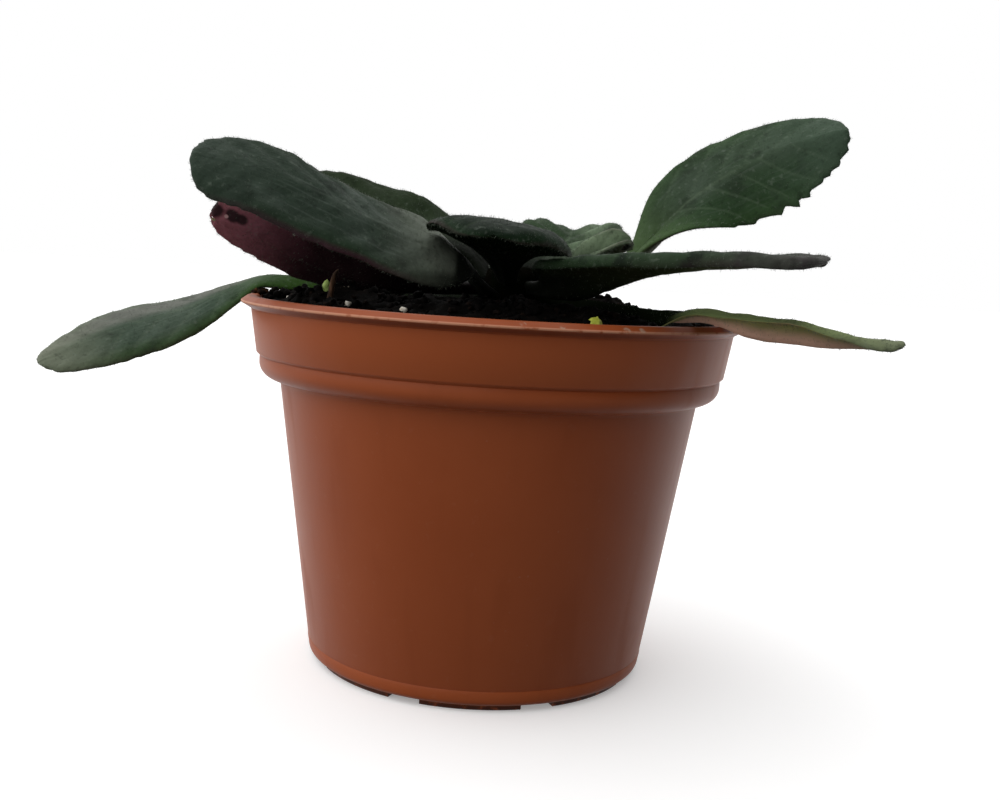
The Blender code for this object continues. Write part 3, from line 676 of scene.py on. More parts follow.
def pot_outline():
    """The pot's outline as its outside and its inside, both listed from the floor to the rim."""
    lip_inside = COLLAR_TOP_RADIUS - WALL
    foot = BASE_RADIUS - FOOT_INSET
    fine = .2 * MM
    low = FOOT_HEIGHT + BASE_ROUNDING
    line = BASE_RADIUS + ((BODY_TOP_RADIUS - BASE_RADIUS) * (MOULD_LINE_HEIGHT - low)
                          / (SHELF_HEIGHT - low))
    outside = [(0, 0), (foot - fine, 0), (foot, fine), (foot, FOOT_HEIGHT)]
    outside += arc((BASE_RADIUS - BASE_ROUNDING, low), BASE_ROUNDING, -90, 0, 9)
    outside += [(line, MOULD_LINE_HEIGHT - MOULD_LINE_SLOPE),
                (line - MOULD_LINE_DEPTH, MOULD_LINE_HEIGHT),
                (line, MOULD_LINE_HEIGHT + MOULD_LINE_SLOPE)]
    outside += [(BODY_TOP_RADIUS - fine, SHELF_HEIGHT - 1 * MM),
                (BODY_TOP_RADIUS, SHELF_HEIGHT - .3 * MM), (BODY_TOP_RADIUS + fine, SHELF_HEIGHT)]
    outside += arc((BAND_RADIUS - BAND_CURL, SHELF_HEIGHT + BAND_CURL), BAND_CURL, -90, 0, 14)
    outside += [(BAND_RADIUS, GROOVE_HEIGHT - .7 * MM),
                (BAND_RADIUS - .12 * MM, GROOVE_HEIGHT - .45 * MM),
                (BAND_RADIUS + .1 * MM, GROOVE_HEIGHT - .2 * MM),
                (COLLAR_RADIUS - fine, GROOVE_HEIGHT), (COLLAR_RADIUS, GROOVE_HEIGHT + fine),
                (COLLAR_TOP_RADIUS, LIP_START - .4 * MM)]
    outside += arc((RIM_RADIUS - LIP_EDGE_ROUNDING, LIP_START + LIP_EDGE_ABOVE),
                   LIP_EDGE_ROUNDING, -80, LIP_SLANT, 12)
    outside += arc((RIM_RADIUS - LIP_TOP_INSET, POT_HEIGHT - LIP_TOP_ROUNDING),
                   LIP_TOP_ROUNDING, LIP_SLANT, 90, 10)
    inside = [(0, FLOOR_THICKNESS), (BASE_RADIUS - WALL, FLOOR_THICKNESS),
              (BODY_TOP_RADIUS - WALL, SHELF_HEIGHT + WALL),
              (BAND_RADIUS - BAND_CURL, SHELF_HEIGHT + WALL)]
    inside += arc((BAND_RADIUS - BAND_CURL, SHELF_HEIGHT + BAND_CURL), BAND_CURL - WALL, -45, 0, 4)
    inside += [(COLLAR_RADIUS - WALL, GROOVE_HEIGHT), (lip_inside, LIP_START),
               (lip_inside, POT_HEIGHT - .5 * MM), (lip_inside + .15 * MM, POT_HEIGHT - .15 * MM),
               (lip_inside + .5 * MM, POT_HEIGHT)]
    return outside, inside


def pot_plastic():
    """Satin moulded plastic, dusty in places, with scuffs, fine scratches and a few dark spots.

    The collar is painted lighter as painted light, the band under the lip has painted shade, the
    pale line along the lip's edge is partly wear and partly painted highlight, and the foot is
    darker at its very bottom.
    """
    finish = Finish("pot_plastic", IOR=1.46, Specular_IOR_Level=.17)
    cloud = finish.grain(14 * MM, 4)
    fine = finish.grain(.8 * MM, 5)
    streaks = finish.grain(2.4 * MM, 4, stretch=(1, 1, .12), distortion=.4)
    rings = finish.grain(1.1 * MM, 3, stretch=(.04, .04, 1))
    height = finish.place.part("Z")
    dust = (1 - finish.cells(2.6 * MM).step(0, .1)) * cloud.step(.54, .64)
    # painted light: the collar's coat below makes it lighter than the body
    collar = height.between(GROOVE_HEIGHT - .4 * MM, GROOVE_HEIGHT,
                            LIP_START - .8 * MM, LIP_START - .4 * MM)
    # painted shade in the thin band just under the lip
    under_lip_painted_shade = height.between(LIP_START - .2 * MM, LIP_START,
                               LIP_START + .4 * MM, LIP_START + .5 * MM)
    # a pale broken line along the lip's edge: partly wear, partly painted highlight
    worn_edge_and_highlight = height.between(LIP_START + .55 * MM, LIP_START + .7 * MM,
                               POT_HEIGHT - .8 * MM, POT_HEIGHT - .7 * MM)
    # darker in broken patches at the very bottom of the foot
    dark_foot_band = (1 - height.step(.5 * MM, 1.3 * MM)) * fine.step(.3, .5)
    colour = finish.blend((147, 71, 35), (153, 76, 40), cloud.step(.35, .7))
    colour = colour.coated(((122, 60, 36), streaks.step(.52, .72) * .14),
                           ((172, 112, 84), fine.step(.62, .74) * .08),
                           ((178, 140, 118), dust * .2), ((166, 84, 44), collar * .7),
                           ((80, 38, 26), under_lip_painted_shade * .5),
                           ((214, 158, 128), worn_edge_and_highlight * fine.step(.25, .5) * .6),
                           ((38, 20, 16), dark_foot_band * .85))
    for centre, radius in LIP_CRUMBS:
        crumb = finish.near(centre, radius, fine) * fine.step(.4, .6)
        colour = colour.coated(((186, 172, 152), crumb * .6))
    for centre, radius in DARK_SPOTS:
        colour = colour.coated(((52, 28, 22), finish.near(centre, radius, fine) * .8))
    roughness = .38 + cloud * .1 + streaks.step(.5, .75) * .08
    relief = rings * .5 + fine * .35 + streaks * .3
    return finish.set(colour, roughness, relief, depth=.05 * MM, strength=.6)


def drain_blocks():
    """Points and faces of the blocks that cut the drainage slots out of the pot's floor."""
    below, above = -MM, FLOOR_THICKNESS + MM
    side = [(DRAIN_INNER, below), (BASE_RADIUS + MM, below), (BASE_RADIUS + MM, FOOT_HEIGHT),
            (DRAIN_OUTER, FOOT_HEIGHT), (DRAIN_OUTER, above), (DRAIN_INNER, above)]
    count = len(side)
    points, faces = [], []
    for k in range(DRAIN_COUNT):
        angle = 2 * math.pi * (k + .5) / DRAIN_COUNT
        along = Vector((math.cos(angle), math.sin(angle), 0))
        across = Vector((-along.y, along.x, 0)) * DRAIN_WIDTH / 2
        first = len(points)
        for half in (-across, across):
            points += [along * radius + half + Vector((0, 0, height)) for radius, height in side]
        faces.append(tuple(range(first, first + count)))
        faces.append(tuple(range(first + 2 * count - 1, first + count - 1, -1)))
        for j in range(count):
            after = (j + 1) % count
            faces.append((first + after, first + j, first + count + j, first + count + after))
    return points, faces


def make_pot():
    """The pot, turned in one piece, with drainage slots cut through its floor."""
    outside, inside = pot_outline()
    pot = place_piece("pot_shell", *turned(outside + inside[::-1], POT_SIDES), pot_plastic(),
                      "pot", "pot")
    cutter = add_object("drain_slots", make_mesh("drain_slots", *drain_blocks()))
    cut = pot.modifiers.new("slots", "BOOLEAN")
    cut.operation, cut.object, cut.solver = "DIFFERENCE", cutter, "EXACT"
    bpy.context.view_layer.update()
    done = bpy.data.meshes.new_from_object(pot.evaluated_get(bpy.context.evaluated_depsgraph_get()))
    pot.modifiers.clear()
    pot.data = done
    bpy.data.objects.remove(cutter)
    done.shade_smooth()
    done.set_sharp_from_angle(angle=math.radians(50))


def along_leaf(angle, places):
    """An angle given once, or at even steps past the leaf's base, in radians at each place."""
    if isinstance(angle, tuple):
        return np.radians(np.interp(places, np.linspace(ANGLES_FROM, 1, len(angle)), angle))
    return np.full(len(places), math.radians(angle))


def read_evenly(ways, places):
    """Directions given at even steps from 0 to 1, read at each place."""
    ways = np.array(ways, float)
    steps = np.linspace(0, 1, len(ways))
    return np.stack([np.interp(places, steps, ways[:, axis]) for axis in range(3)], axis=-1)


def midrib_frame(leaf, places):
    """The midrib's points in metres, and the upward and rightward directions there."""
    centre = spline(leaf.midrib, places) * MM
    fine = spline(leaf.midrib, np.linspace(0, 1, FINE_STEPS))
    tangent = unit(read_evenly(np.gradient(fine, axis=0), places))
    up = read_evenly(leaf.facing, places)
    up = unit(up - (up * tangent).sum(1)[:, None] * tangent)
    return centre, up, np.cross(tangent, up)


def tooth_height(leaf, along, plain, v, seed):
    """How far out each point near the margin lies on its tooth, in shares of a tooth's height.

    The teeth follow each other along the margin itself, closer near the tip.
    """
    places = along / along[-1]
    spacing = TOOTH_SPACING + (TIP_SPACING - TOOTH_SPACING) * ease(places, .6, 1)
    margin = np.hypot(np.gradient(along)[:, None], np.gradient(plain, axis=0))
    count = (margin / spacing[:, None]).cumsum(0)
    side = np.sign(v)[None, :]
    share = (count + .16 * np.sin(2.3 * count + 2.1 * side + seed)) % 1
    height = np.where(share < TOOTH_PEAK, share / TOOTH_PEAK, (1 - share) / (1 - TOOTH_PEAK))
    uneven = 1 + .35 * np.sin(1.3 * count + 1.7 * side + 2 * seed)
    tooth_from = leaf.blade_start + TOOTH_START * (1 - leaf.blade_start)
    toothed = ease(places, tooth_from - .02, tooth_from + .1) * (1 - ease(places, .996, 1))
    return (height ** 1.3 - .3) * uneven * toothed[:, None]


def vein_pattern(leaf, length, places, v, half, seed):
    """How near each point is to a side vein, and the swelling of the blade between the veins."""
    out = np.abs(v) * half
    along = places * length
    beat = (along - VEIN_SLANT * out - VEIN_BEND * out * out) / VEIN_SPACING
    beat = beat + np.where(v < 0, 0, .45) + .12 * np.sin(along * 260 + seed)
    gap = np.abs(beat - np.round(beat)) * VEIN_SPACING * .72
    mask = ease(places, leaf.blade_start + .02, leaf.blade_start + .2)
    mask = mask * (1 - ease(places, .93, 1)) * (1 - ease(np.abs(v), .78, .97))
    vein = np.exp(-(gap / VEIN_WIDTH) ** 2) * mask
    swelling = -np.cos(2 * np.pi * beat) * mask * ease(np.abs(v), .02, .3)
    return vein, swelling


def rounded_off(x, stretch):
    """1, falling to 0 along a quarter circle over the last stretch before x is 1."""
    return np.sqrt(np.clip(1 - (np.maximum(x - 1 + stretch, 0) / stretch) ** 2, 0, 1))


def middle_of_leaf(leaf, seed, places, v, half, blade):
    """The surface halfway between the leaf's upper and lower one, as a grid, and its length."""
    centre, up, right = midrib_frame(leaf, places)
    length = np.linalg.norm(np.diff(centre, axis=0), axis=1).sum()
    left = v < 0
    fold, curl = (np.where(left, *(along_leaf(angle, places)[:, None] for angle in angles))
                  for angles in (leaf.fold, leaf.curl))
    within = (np.arange(BEND_STEPS) + .5) / BEND_STEPS * np.abs(v)[:, None]
    angle = fold[..., None] - (curl * blade)[..., None] * ease(within, leaf.curl_start, 1)
    right_width = np.interp(places, np.linspace(0, 1, len(leaf.right_width)), leaf.right_width)
    plain = half * np.where(v > 0, right_width[:, None], 1)
    out = TOOTH_DEPTH * np.where(left, *leaf.teeth) * np.abs(v) ** 3
    out = out * tooth_height(leaf, places * length, plain, v, seed)
    out = out * np.maximum(plain, .7 * leaf.half_width * MM)
    narrowing = np.clip(-np.gradient(plain, places * length, axis=0), 0, 6)
    slant = np.hypot(narrowing, 1)
    wide = plain + out / slant
    across = v * np.cos(angle).mean(-1) * wide
    rise = np.abs(v) * np.sin(angle).mean(-1) * wide
    phase = 2 * np.pi * WAVES * places[:, None] + np.where(left, 0, 1.3)
    rise = rise + leaf.wave * MM * blade * v * v * np.sin(phase)
    onward = out * narrowing / slant
    ways = ((right, across), (up, rise), (np.cross(up, right), onward))
    return centre[:, None] + sum(way[:, None] * far[..., None] for way, far in ways), length


def leaf_surfaces(leaf, seed):
    """The leaf's upper and lower surface as grids of points, with what its points carry."""
    tip = TIP_START + (1 - TIP_START) * np.sin(np.linspace(0, np.pi / 2, TIP_ROWS))[1:]
    places = np.concatenate([np.linspace(0, TIP_START, LEAF_ROWS), tip])
    along = places[:, None]
    v = np.sin(np.pi / 2 * np.linspace(-1, 1, COLUMNS))
    start = leaf.blade_start
    stretched = np.where(places < start, places / start * STALK,
                         STALK + (places - start) / (1 - start) * (1 - STALK))
    half = leaf.half_width * MM * curve_through(leaf.outline, stretched)[:, None]
    half = half * np.maximum(rounded_off(along, TIP_ROUNDING), .02)
    blade = ease(along, start - .05, start - .05 + leaf.spread)
    middle, length = middle_of_leaf(leaf, seed, places, v, half, blade)
    along_way = unit(np.gradient(middle, axis=0))
    normal = unit(np.cross(np.gradient(middle, axis=1), along_way))
    normal[-1] = normal[-2]

    vein, swelling = vein_pattern(leaf, length, along, v, half, seed)
    midrib = np.exp(-(v * half / MIDRIB_WIDTH) ** 2) * blade * (1 - .6 * along)
    lumps = rough(middle, LEAF_LUMP_SIZE, 2, seed) * LEAF_LUMP_HEIGHT * blade
    pimples = rough(middle, PIMPLE_SIZE, 2, seed + 9) * PIMPLE_HEIGHT
    relief = (leaf.pucker * swelling - .8 * leaf.pucker * vein - .3 * midrib) * MM
    relief = relief * ease(np.abs(v), 0, .12) * blade

    end = rounded_off(along, END_ROUNDING)
    thin_blade = BLADE_THICKNESS * (1 - MARGIN_THINNING * v * v)
    thin_blade = thin_blade * rounded_off(np.abs(v), MARGIN_ROUNDING) * end
    round_stalk = STALK_THICKNESS * np.sqrt(np.clip(1 - v * v, 0, 1))
    thickness = blade * thin_blade + (1 - blade) * round_stalk
    keel = KEEL_DEPTH * np.exp(-(v / KEEL_WIDTH) ** 2) * (.25 + .75 * blade)
    keel = keel * (1 - .75 * along) * end
    sides = ease(1 - np.abs(v), 0, .1) * end
    above = thickness / 2 + lumps + (relief + pimples) * sides
    below = thickness / 2 + keel - lumps - (.6 * relief - pimples) * sides
    upper = middle + normal * above[..., None]
    lower = middle - normal * below[..., None]
    carried = {"along": np.broadcast_to(along, vein.shape),
               "across": np.broadcast_to(v, vein.shape), "vein": vein, "rib": midrib}
    return upper, lower, carried, along_way


def close_leaf(upper, lower, missing):
    """Points and faces of the solid between two grids that share their margins and their tip.

    Where cells are missing, a hole goes through it.
    """
    rows, columns = upper.shape[:2]
    top = np.arange(rows * columns).reshape(rows, columns)
    lower_only = np.ones((rows, columns), bool)
    lower_only[:, 0] = lower_only[:, -1] = lower_only[-1] = False
    bottom = top.copy()
    bottom[lower_only] = rows * columns + np.arange(lower_only.sum())
    points = np.concatenate([upper.reshape(-1, 3), lower[lower_only]])
    faces = []
    for i, j in np.argwhere(~missing).tolist():
        a, b, c, d = (i, j), (i, j + 1), (i + 1, j + 1), (i + 1, j)
        faces.append((top[a], top[b], top[c], top[d]))
        faces.append((bottom[d], bottom[c], bottom[b], bottom[a]))
        for (p, q), (k, m) in (((a, b), (i - 1, j)), ((b, c), (i, j + 1)),
                               ((c, d), (i + 1, j)), ((d, a), (i, j - 1))):
            outside = not (0 <= k < rows - 1 and 0 <= m < columns - 1)
            if (outside or missing[k, m]) and not (bottom[p] == top[p] and bottom[q] == top[q]):
                wall = (top[p], bottom[p], bottom[q], top[q])
                faces.append(tuple(dict.fromkeys(wall)))
    return points, [tuple(int(k) for k in face) for face in faces], lower_only


def leaf_finish(leaf):
    """Leathery hairy skin: dark above with paler veins, and green, pink or purple underneath."""
    skin = leaf.skin
    finish = Finish(leaf.name + "_skin", Specular_IOR_Level=skin.gloss)
    under = finish.stored("under").step(.35, .65)
    along = finish.stored("along")
    across = finish.stored("across")
    out = abs(across)
    cloud = finish.grain(7 * MM, 4)
    blotch = finish.grain(2.6 * MM, 4)
    fine = finish.grain(.55 * MM, 4)
    start = leaf.blade_start
    past_stalk = along.step(*(skin.stalk_to or (start - .04, start + .22)))
    flush = out.step(.86, .99) * along.step(skin.flush_from, skin.flush_from + .3)
    rib = finish.stored("rib").step(.2, .9) * (1 - along.step(.45, .95))
    top = finish.blend(skin.upper, skin.bloom, cloud.step(.42, .72) * .5)
    if skin.right_half:
        top = top.coated((skin.right_half, across.step(.02, .4) * .75))
    top = top.coated((skin.bloom, finish.lengthwise(along, across).step(.5, .72) * .45),
                     (skin.margin, out.step(.55, 1) * .75),
                     ([c * .66 for c in skin.upper], blotch.step(.52, .68) * skin.blotch),
                     (skin.midrib, rib * .7), (skin.midrib, finish.stored("vein").step(.3, 1) * .22),
                     (skin.flush, flush * cloud.step(.25, .55) * skin.flush_amount),
                     (skin.stalk, 1 - past_stalk))
    below = finish.blend(skin.under, skin.under_cloud, cloud.step(.4, .66))
    below = below.coated((skin.under_margin, out.step(*skin.under_band) * .8),
                         ([c * .75 for c in skin.under], blotch.step(.5, .72) * .4),
                         (skin.stalk, (1 - along.step(start - .05, start + .15)) * .7))
    colour = finish.blend(top, below, under)
    if skin.tip:
        colour = colour.coated((skin.tip, along.step(skin.tip_from, 1) * .8))
    # painted shade in the rosette's middle, and beyond dark_beyond
    dark_from, dark_to = (height * MM for height in skin.shade)
    depths = finish.near(*LEAF_DEPTHS) * (1 - finish.place.part("Z").step(dark_from, dark_to))
    if skin.dark_beyond:
        inner = finish.place.part("X").step(skin.dark_beyond * MM, (skin.dark_beyond + 1.2) * MM)
        depths = depths + (1 - depths) * inner
    colour = colour.coated(((126, 136, 124), fine.step(.58, .76) * .2),
                           ((12, 16, 10), (1 - fine.step(.28, .44)) * (1 - under) * .3),
                           ((8, 11, 6), depths * .94))
    if leaf.name == "leaf_left_middle":
        # painted shade: darker from near the tip back towards the stalk
        colour = colour.coated(((13, 7, 8), (1 - along.step(.6, .98)) * .95))
        for centre, radius, shade in TIP_DAMAGE:
            colour = colour.coated((shade, finish.near(centre, radius, blotch) * .95))
    if leaf.name == "leaf_young":
        # the dark spot is painted shade in the young leaf's hollow, inside a pale ring
        colour = colour.coated(((150, 156, 142), finish.near(HOLLOW, RING_RADIUS, blotch) * .7),
                               ((14, 15, 12), finish.near(HOLLOW, HOLLOW_SHADE_RADIUS, fine)))
    # painted light: an emission standing for light that shines through the thin blade
    glow = None
    if skin.glow:
        finish.shader.inputs["Emission Strength"].default_value = skin.glow
        glow = colour.coated(((0, 0, 0), 1 - under))
    return finish.set(colour, .5 + blotch * .2 + under * .08,
                      fine * .6 + finish.cells(.9 * MM) * .5, depth=.14 * MM, strength=.75, glow=glow)


def hair_finish():
    """Grey-green hairs, with painted shade in the depths of the rosette."""
    finish = Finish("leaf_hairs_silver", Roughness=.5, Specular_IOR_Level=.05)
    colour = finish.blend((78, 88, 76), (116, 124, 112), finish.grain(3 * MM, 2).step(.4, .6))
    depths = finish.near(*HAIR_DEPTHS) * (1 - finish.place.part("Z").step(74 * MM, 80 * MM))
    return finish.set(colour.coated(((6, 8, 5), depths)))


def grow_hairs(name, points, faces, ways, thick, count, length, material, seed, slot="leaf"):
    """Fine pointed hairs that stand on a surface and lean the way it grows."""
    rng = np.random.default_rng(seed)
    corners = np.array([f[:3] for f in faces] + [(f[0], f[2], f[3]) for f in faces if len(f) == 4])
    a, b, c = (points[corners[:, k]] for k in range(3))
    cross = np.cross(b - a, c - a)
    area = np.linalg.norm(cross, axis=1)
    weight = area * thick[corners].mean(1)
    picked = rng.choice(len(corners), count, p=weight / weight.sum())
    share = rng.random((count, 2))
    share = np.where(share.sum(1, keepdims=True) > 1, 1 - share, share)[..., None]
    foot = a[picked] + (b - a)[picked] * share[:, 0] + (c - a)[picked] * share[:, 1]
    normal = unit(cross)[picked]
    way = ways[corners[picked, 0]]
    stand = unit(normal + .4 * way + .35 * rng.normal(size=(count, 3)))
    long = (length * rng.uniform(.55, 1.25, count))[:, None]
    middle = foot + stand * long * .55
    tip = middle + unit(stand + .55 * way + .2 * rng.normal(size=(count, 3))) * long * .45
    side = unit(np.cross(stand, rng.normal(size=(count, 3)))) * HAIR_HALF_WIDTH
    foot = foot - normal * HAIR_ROOT
    hairs = np.stack([foot - side, foot + side, middle - .75 * side, middle + .75 * side, tip], 1)
    first = np.arange(count)[:, None] * hairs.shape[1]
    triangles = np.concatenate([first + [0, 1, 3], first + [0, 3, 2], first + [2, 3, 4]])
    place_piece(name, hairs.reshape(-1, 3), triangles.tolist(), material, slot, smooth=False)


def make_leaves():
    """Every leaf with its hairs, and the shape of them all for the soil to stay under."""
    hair = hair_finish()
    all_points, all_faces = [], []
    for seed, leaf in enumerate(LEAVES):
        upper, lower, carried, way = leaf_surfaces(leaf, seed)
        cells = (upper[:-1, :-1] + upper[1:, 1:]) / 2
        missing = np.zeros(cells.shape[:2], bool)
        if leaf.name == "leaf_left_middle":
            gap = (cells - np.array(TIP_HOLE) * MM) * TIP_HOLE_FORM
            missing = np.linalg.norm(gap, axis=-1) < TIP_HOLE_RADIUS
        points, faces, lower_only = close_leaf(upper, lower, missing)
        values = {key: np.concatenate([grid.ravel(), grid[lower_only]])
                  for key, grid in carried.items()}
        under = np.zeros(lower_only.shape)
        under[:, 0] = under[:, -1] = under[-1] = .5
        values["under"] = np.concatenate([under.ravel(), np.ones(lower_only.sum())])
        place_piece(leaf.name + "_skin", points, faces, leaf_finish(leaf), "leaf", leaf.name,
                    values)
        ways = np.concatenate([way.reshape(-1, 3), way[lower_only]])
        thick = .4 + 2 * np.abs(values["across"]) ** 8
        grow_hairs(leaf.name + "_hairs", points, faces, ways, thick, leaf.hairs, HAIR_LENGTH,
                   hair, seed + 100)
        offset = sum(len(p) for p in all_points)
        all_points.append(points)
        all_faces += [tuple(k + offset for k in face) for face in faces]
    return BVHTree.FromPolygons(np.concatenate(all_points).tolist(), all_faces)


def ceiling(tree, x, y):
    """How high the soil may reach near a place without touching the leaves above it."""
    lowest = 1.0
    for dx in (-TROUGH_REACH, 0, TROUGH_REACH):
        for dy in (-TROUGH_REACH, 0, TROUGH_REACH):
            hit = tree.ray_cast(Vector((x + dx, y + dy, CROWN_FOOT)), Vector((0, 0, 1)))[0]
            if hit:
                lowest = min(lowest, hit.z - TROUGH_CLEARANCE)
    return lowest


def soil_height(x, y, edge):
    """The heap with its lumps, where edge is the distance from the axis to the pot's wall."""
    reach = math.hypot(x, y) / edge
    heap = SOIL_EDGE_HEIGHT + SOIL_HEAP * (1 - reach ** HEAP_FLATNESS)
    for (middle_x, middle_y), spread, height in SOIL_MOUNDS:
        away = math.hypot(x / MM - middle_x, y / MM - middle_y)
        heap += height * MM * math.exp(-(away / spread) ** 2)
    place = Vector((x, y, 0)) / LUMP_SIZE
    heap += LUMP_HEIGHT * (noise.noise(place) + .5 * noise.noise(place * 2.3))
    return heap + CRUMB_RELIEF * noise.fractal(place * 5, .8, 2.1, 4)


def soil_finish():
    """Moist potting mix: nearly black, with brown fibres and a few pale specks."""
    finish = Finish("potting_mix", Specular_IOR_Level=.03)
    lump = finish.grain(2.2 * MM, 5)
    fine = finish.grain(.5 * MM, 5)
    fibre = finish.grain(.5 * MM, 3, stretch=(1, .2, .6), distortion=1.2)
    colour = finish.blend((6, 5, 4), (15, 11, 9), lump.step(.42, .7))
    colour = colour.coated(((44, 32, 24), fibre.step(.66, .76) * .5),
                           ((12, 10, 9), fine.step(.5, .7) * .7),
                           ((150, 140, 124), (fine * lump).step(.42, .46) * .6))
    return finish.set(colour, .72 + fine * .25, fine + lump * .8, depth=.5 * MM, strength=.9)


def make_soil(leaves):
    """The heaped soil, and its surface for the grains to lie on."""
    inside = [(BASE_RADIUS - WALL, FLOOR_THICKNESS), (BODY_TOP_RADIUS - WALL, SHELF_HEIGHT + WALL),
              (BAND_RADIUS - BAND_CURL, SHELF_HEIGHT + WALL),
              (BAND_RADIUS - WALL, SHELF_HEIGHT + BAND_CURL),
              (COLLAR_RADIUS - WALL, GROOVE_HEIGHT)]
    wall = [(0, FLOOR_THICKNESS + CLEARANCE)]
    wall += [(radius - CLEARANCE, height + CLEARANCE) for radius, height in inside]
    widening = (COLLAR_TOP_RADIUS - COLLAR_RADIUS) * COLLAR_SHARE
    edge = COLLAR_RADIUS - WALL - CLEARANCE + widening
    surface = [(edge * (1 - k / SOIL_RINGS), SOIL_EDGE_HEIGHT) for k in range(SOIL_RINGS + 1)]
    points, faces = turned(wall + surface, SOIL_SIDES)
    for index, (x, y, z) in enumerate(points):
        if z == SOIL_EDGE_HEIGHT:
            points[index] = (x, y, min(soil_height(x, y, edge), ceiling(leaves, x, y)))
    place_piece("potting_mix", points, faces, soil_finish(), "soil", "soil")
    return BVHTree.FromPolygons(points, faces)


def lump_shape(squash, seed):
    """A rough grain of about unit size, more or less flat."""
    shape = bmesh.new()
    bmesh.ops.create_icosphere(shape, subdivisions=2, radius=.5)
    points = np.array([v.co for v in shape.verts])
    faces = [tuple(v.index for v in f.verts) for f in shape.faces]
    shape.free()
    swell = [noise.noise(Vector(p) * 2.4 + Vector((seed * 3.1, seed, 0))) for p in points]
    ridge = [noise.noise(Vector(p) * 6 + Vector((0, seed * 2.3, 0))) for p in points]
    points = points * (1 + .75 * np.array(swell) + .22 * np.array(ridge))[:, None] * squash
    return points, faces


def scatter(name, shapes, places, sizes, material, seed, sink=.25):
    """Grains laid on the soil or the rim, each turned its own way."""
    rng = np.random.default_rng(seed)
    points, faces = [], []
    offset = 0
    for place, size in zip(places, sizes):
        shape, around = shapes[rng.integers(len(shapes))]
        turn = Matrix.Rotation(rng.uniform(0, 2 * math.pi), 3, "Z")
        turn = turn @ Matrix.Rotation(rng.normal(0, .5), 3, "X")
        grain = shape @ np.array(turn).T * size
        points.append(grain + place + (0, 0, size * (.5 - sink) * .8))
        faces += [tuple(k + offset for k in face) for face in around]
        offset += len(shape)
    place_piece(name, np.concatenate(points), faces, material, "soil")


def drop_on(soil, x, y):
    """Where a grain that falls at this place meets the soil."""
    return soil.ray_cast(Vector((x, y, DROP_HEIGHT)), Vector((0, 0, -1)))[0]


def spots_on_soil(soil, leaves, count, seed, room=1.2 * MM):
    """Places on the soil with free height above them for a grain."""
    rng = np.random.default_rng(seed)
    found = []
    while len(found) < count:
        radius = math.sqrt(rng.uniform(GRAINS_FROM ** 2, GRAINS_TO ** 2))
        angle = rng.uniform(0, 2 * math.pi)
        x, y = radius * math.cos(angle), radius * math.sin(angle)
        if math.dist((x, y), CROWN_PLACE) < CROWN_RADIUS + GRAINS_OFF_CROWN:
            continue
        hit = drop_on(soil, x, y)
        if hit and ceiling(leaves, x, y) > hit.z + room:
            found.append(np.array(hit))
    return found


def chosen_spots(soil, spots):
    """Places on the soil above chosen spots, which are in millimetres."""
    return [np.array(drop_on(soil, x * MM, y * MM)) for x, y in spots]


def bark_finish(name, dark, light):
    """Dull fibres in two shades."""
    finish = Finish(name, Specular_IOR_Level=.03)
    lines = finish.grain(.5 * MM, 4, stretch=(1, .3, .4))
    return finish.set(finish.blend(dark, light, lines.step(.4, .7)), .7 + lines * .2, lines,
                      depth=.2 * MM)


def perlite_finish():
    """White foamed grains with grey specks."""
    finish = Finish("perlite", Specular_IOR_Level=.3)
    speck = finish.grain(.3 * MM, 4)
    return finish.set(finish.blend((214, 208, 196), (168, 158, 142), speck.step(.45, .65)),
                      .8 + speck * .1, speck, depth=.2 * MM)


def make_crumbs(soil, leaves):
    """Bark crumbs, clods and perlite grains on the soil, and crumbs on the rim."""
    bark = [lump_shape((1, width, .5), k) for k, width in enumerate((.5, .7, .35, .8))]
    clods = [lump_shape((1, .9, .8), k + 10) for k in range(5)]
    white = [lump_shape((1, .85, .8), k + 20) for k in range(4)]
    perlite = [place for place in spots_on_soil(soil, leaves, 60, 7) if place[1] > -4 * MM]
    perlite += chosen_spots(soil, PERLITE_SPOTS)
    on_rim = [np.array((x * MM, y * MM, POT_HEIGHT)) for x, y in RIM_CRUMBS]
    rng = np.random.default_rng(5)
    for name, shapes, places, sizes, material, seed, sink in (
            ("bark_crumbs", bark, spots_on_soil(soil, leaves, 260, 1), (.7, 2.1),
             bark_finish("bark", (8, 6, 5), (28, 20, 16)), 2, .25),
            ("soil_clods", clods, spots_on_soil(soil, leaves, 520, 3, .9 * MM), (.5, 1.9),
             bark_finish("clods", (5, 4, 4), (12, 9, 8)), 4, .35),
            ("perlite_grains", white, perlite, (.6, 1.4), perlite_finish(), 8, .4),
            ("edge_clods", clods, chosen_spots(soil, EDGE_CLODS), (1.5, 2.1),
             bark_finish("edge_clod", (6, 5, 4), (14, 10, 8)), 10, .2),
            ("rim_crumbs", clods, on_rim, (1.1, 1.5),
             bark_finish("rim_crumb", (20, 14, 10), (96, 62, 40)), 9, .2)):
        scatter(name, shapes, places, rng.uniform(*sizes, len(places)) * MM, material, seed, sink)


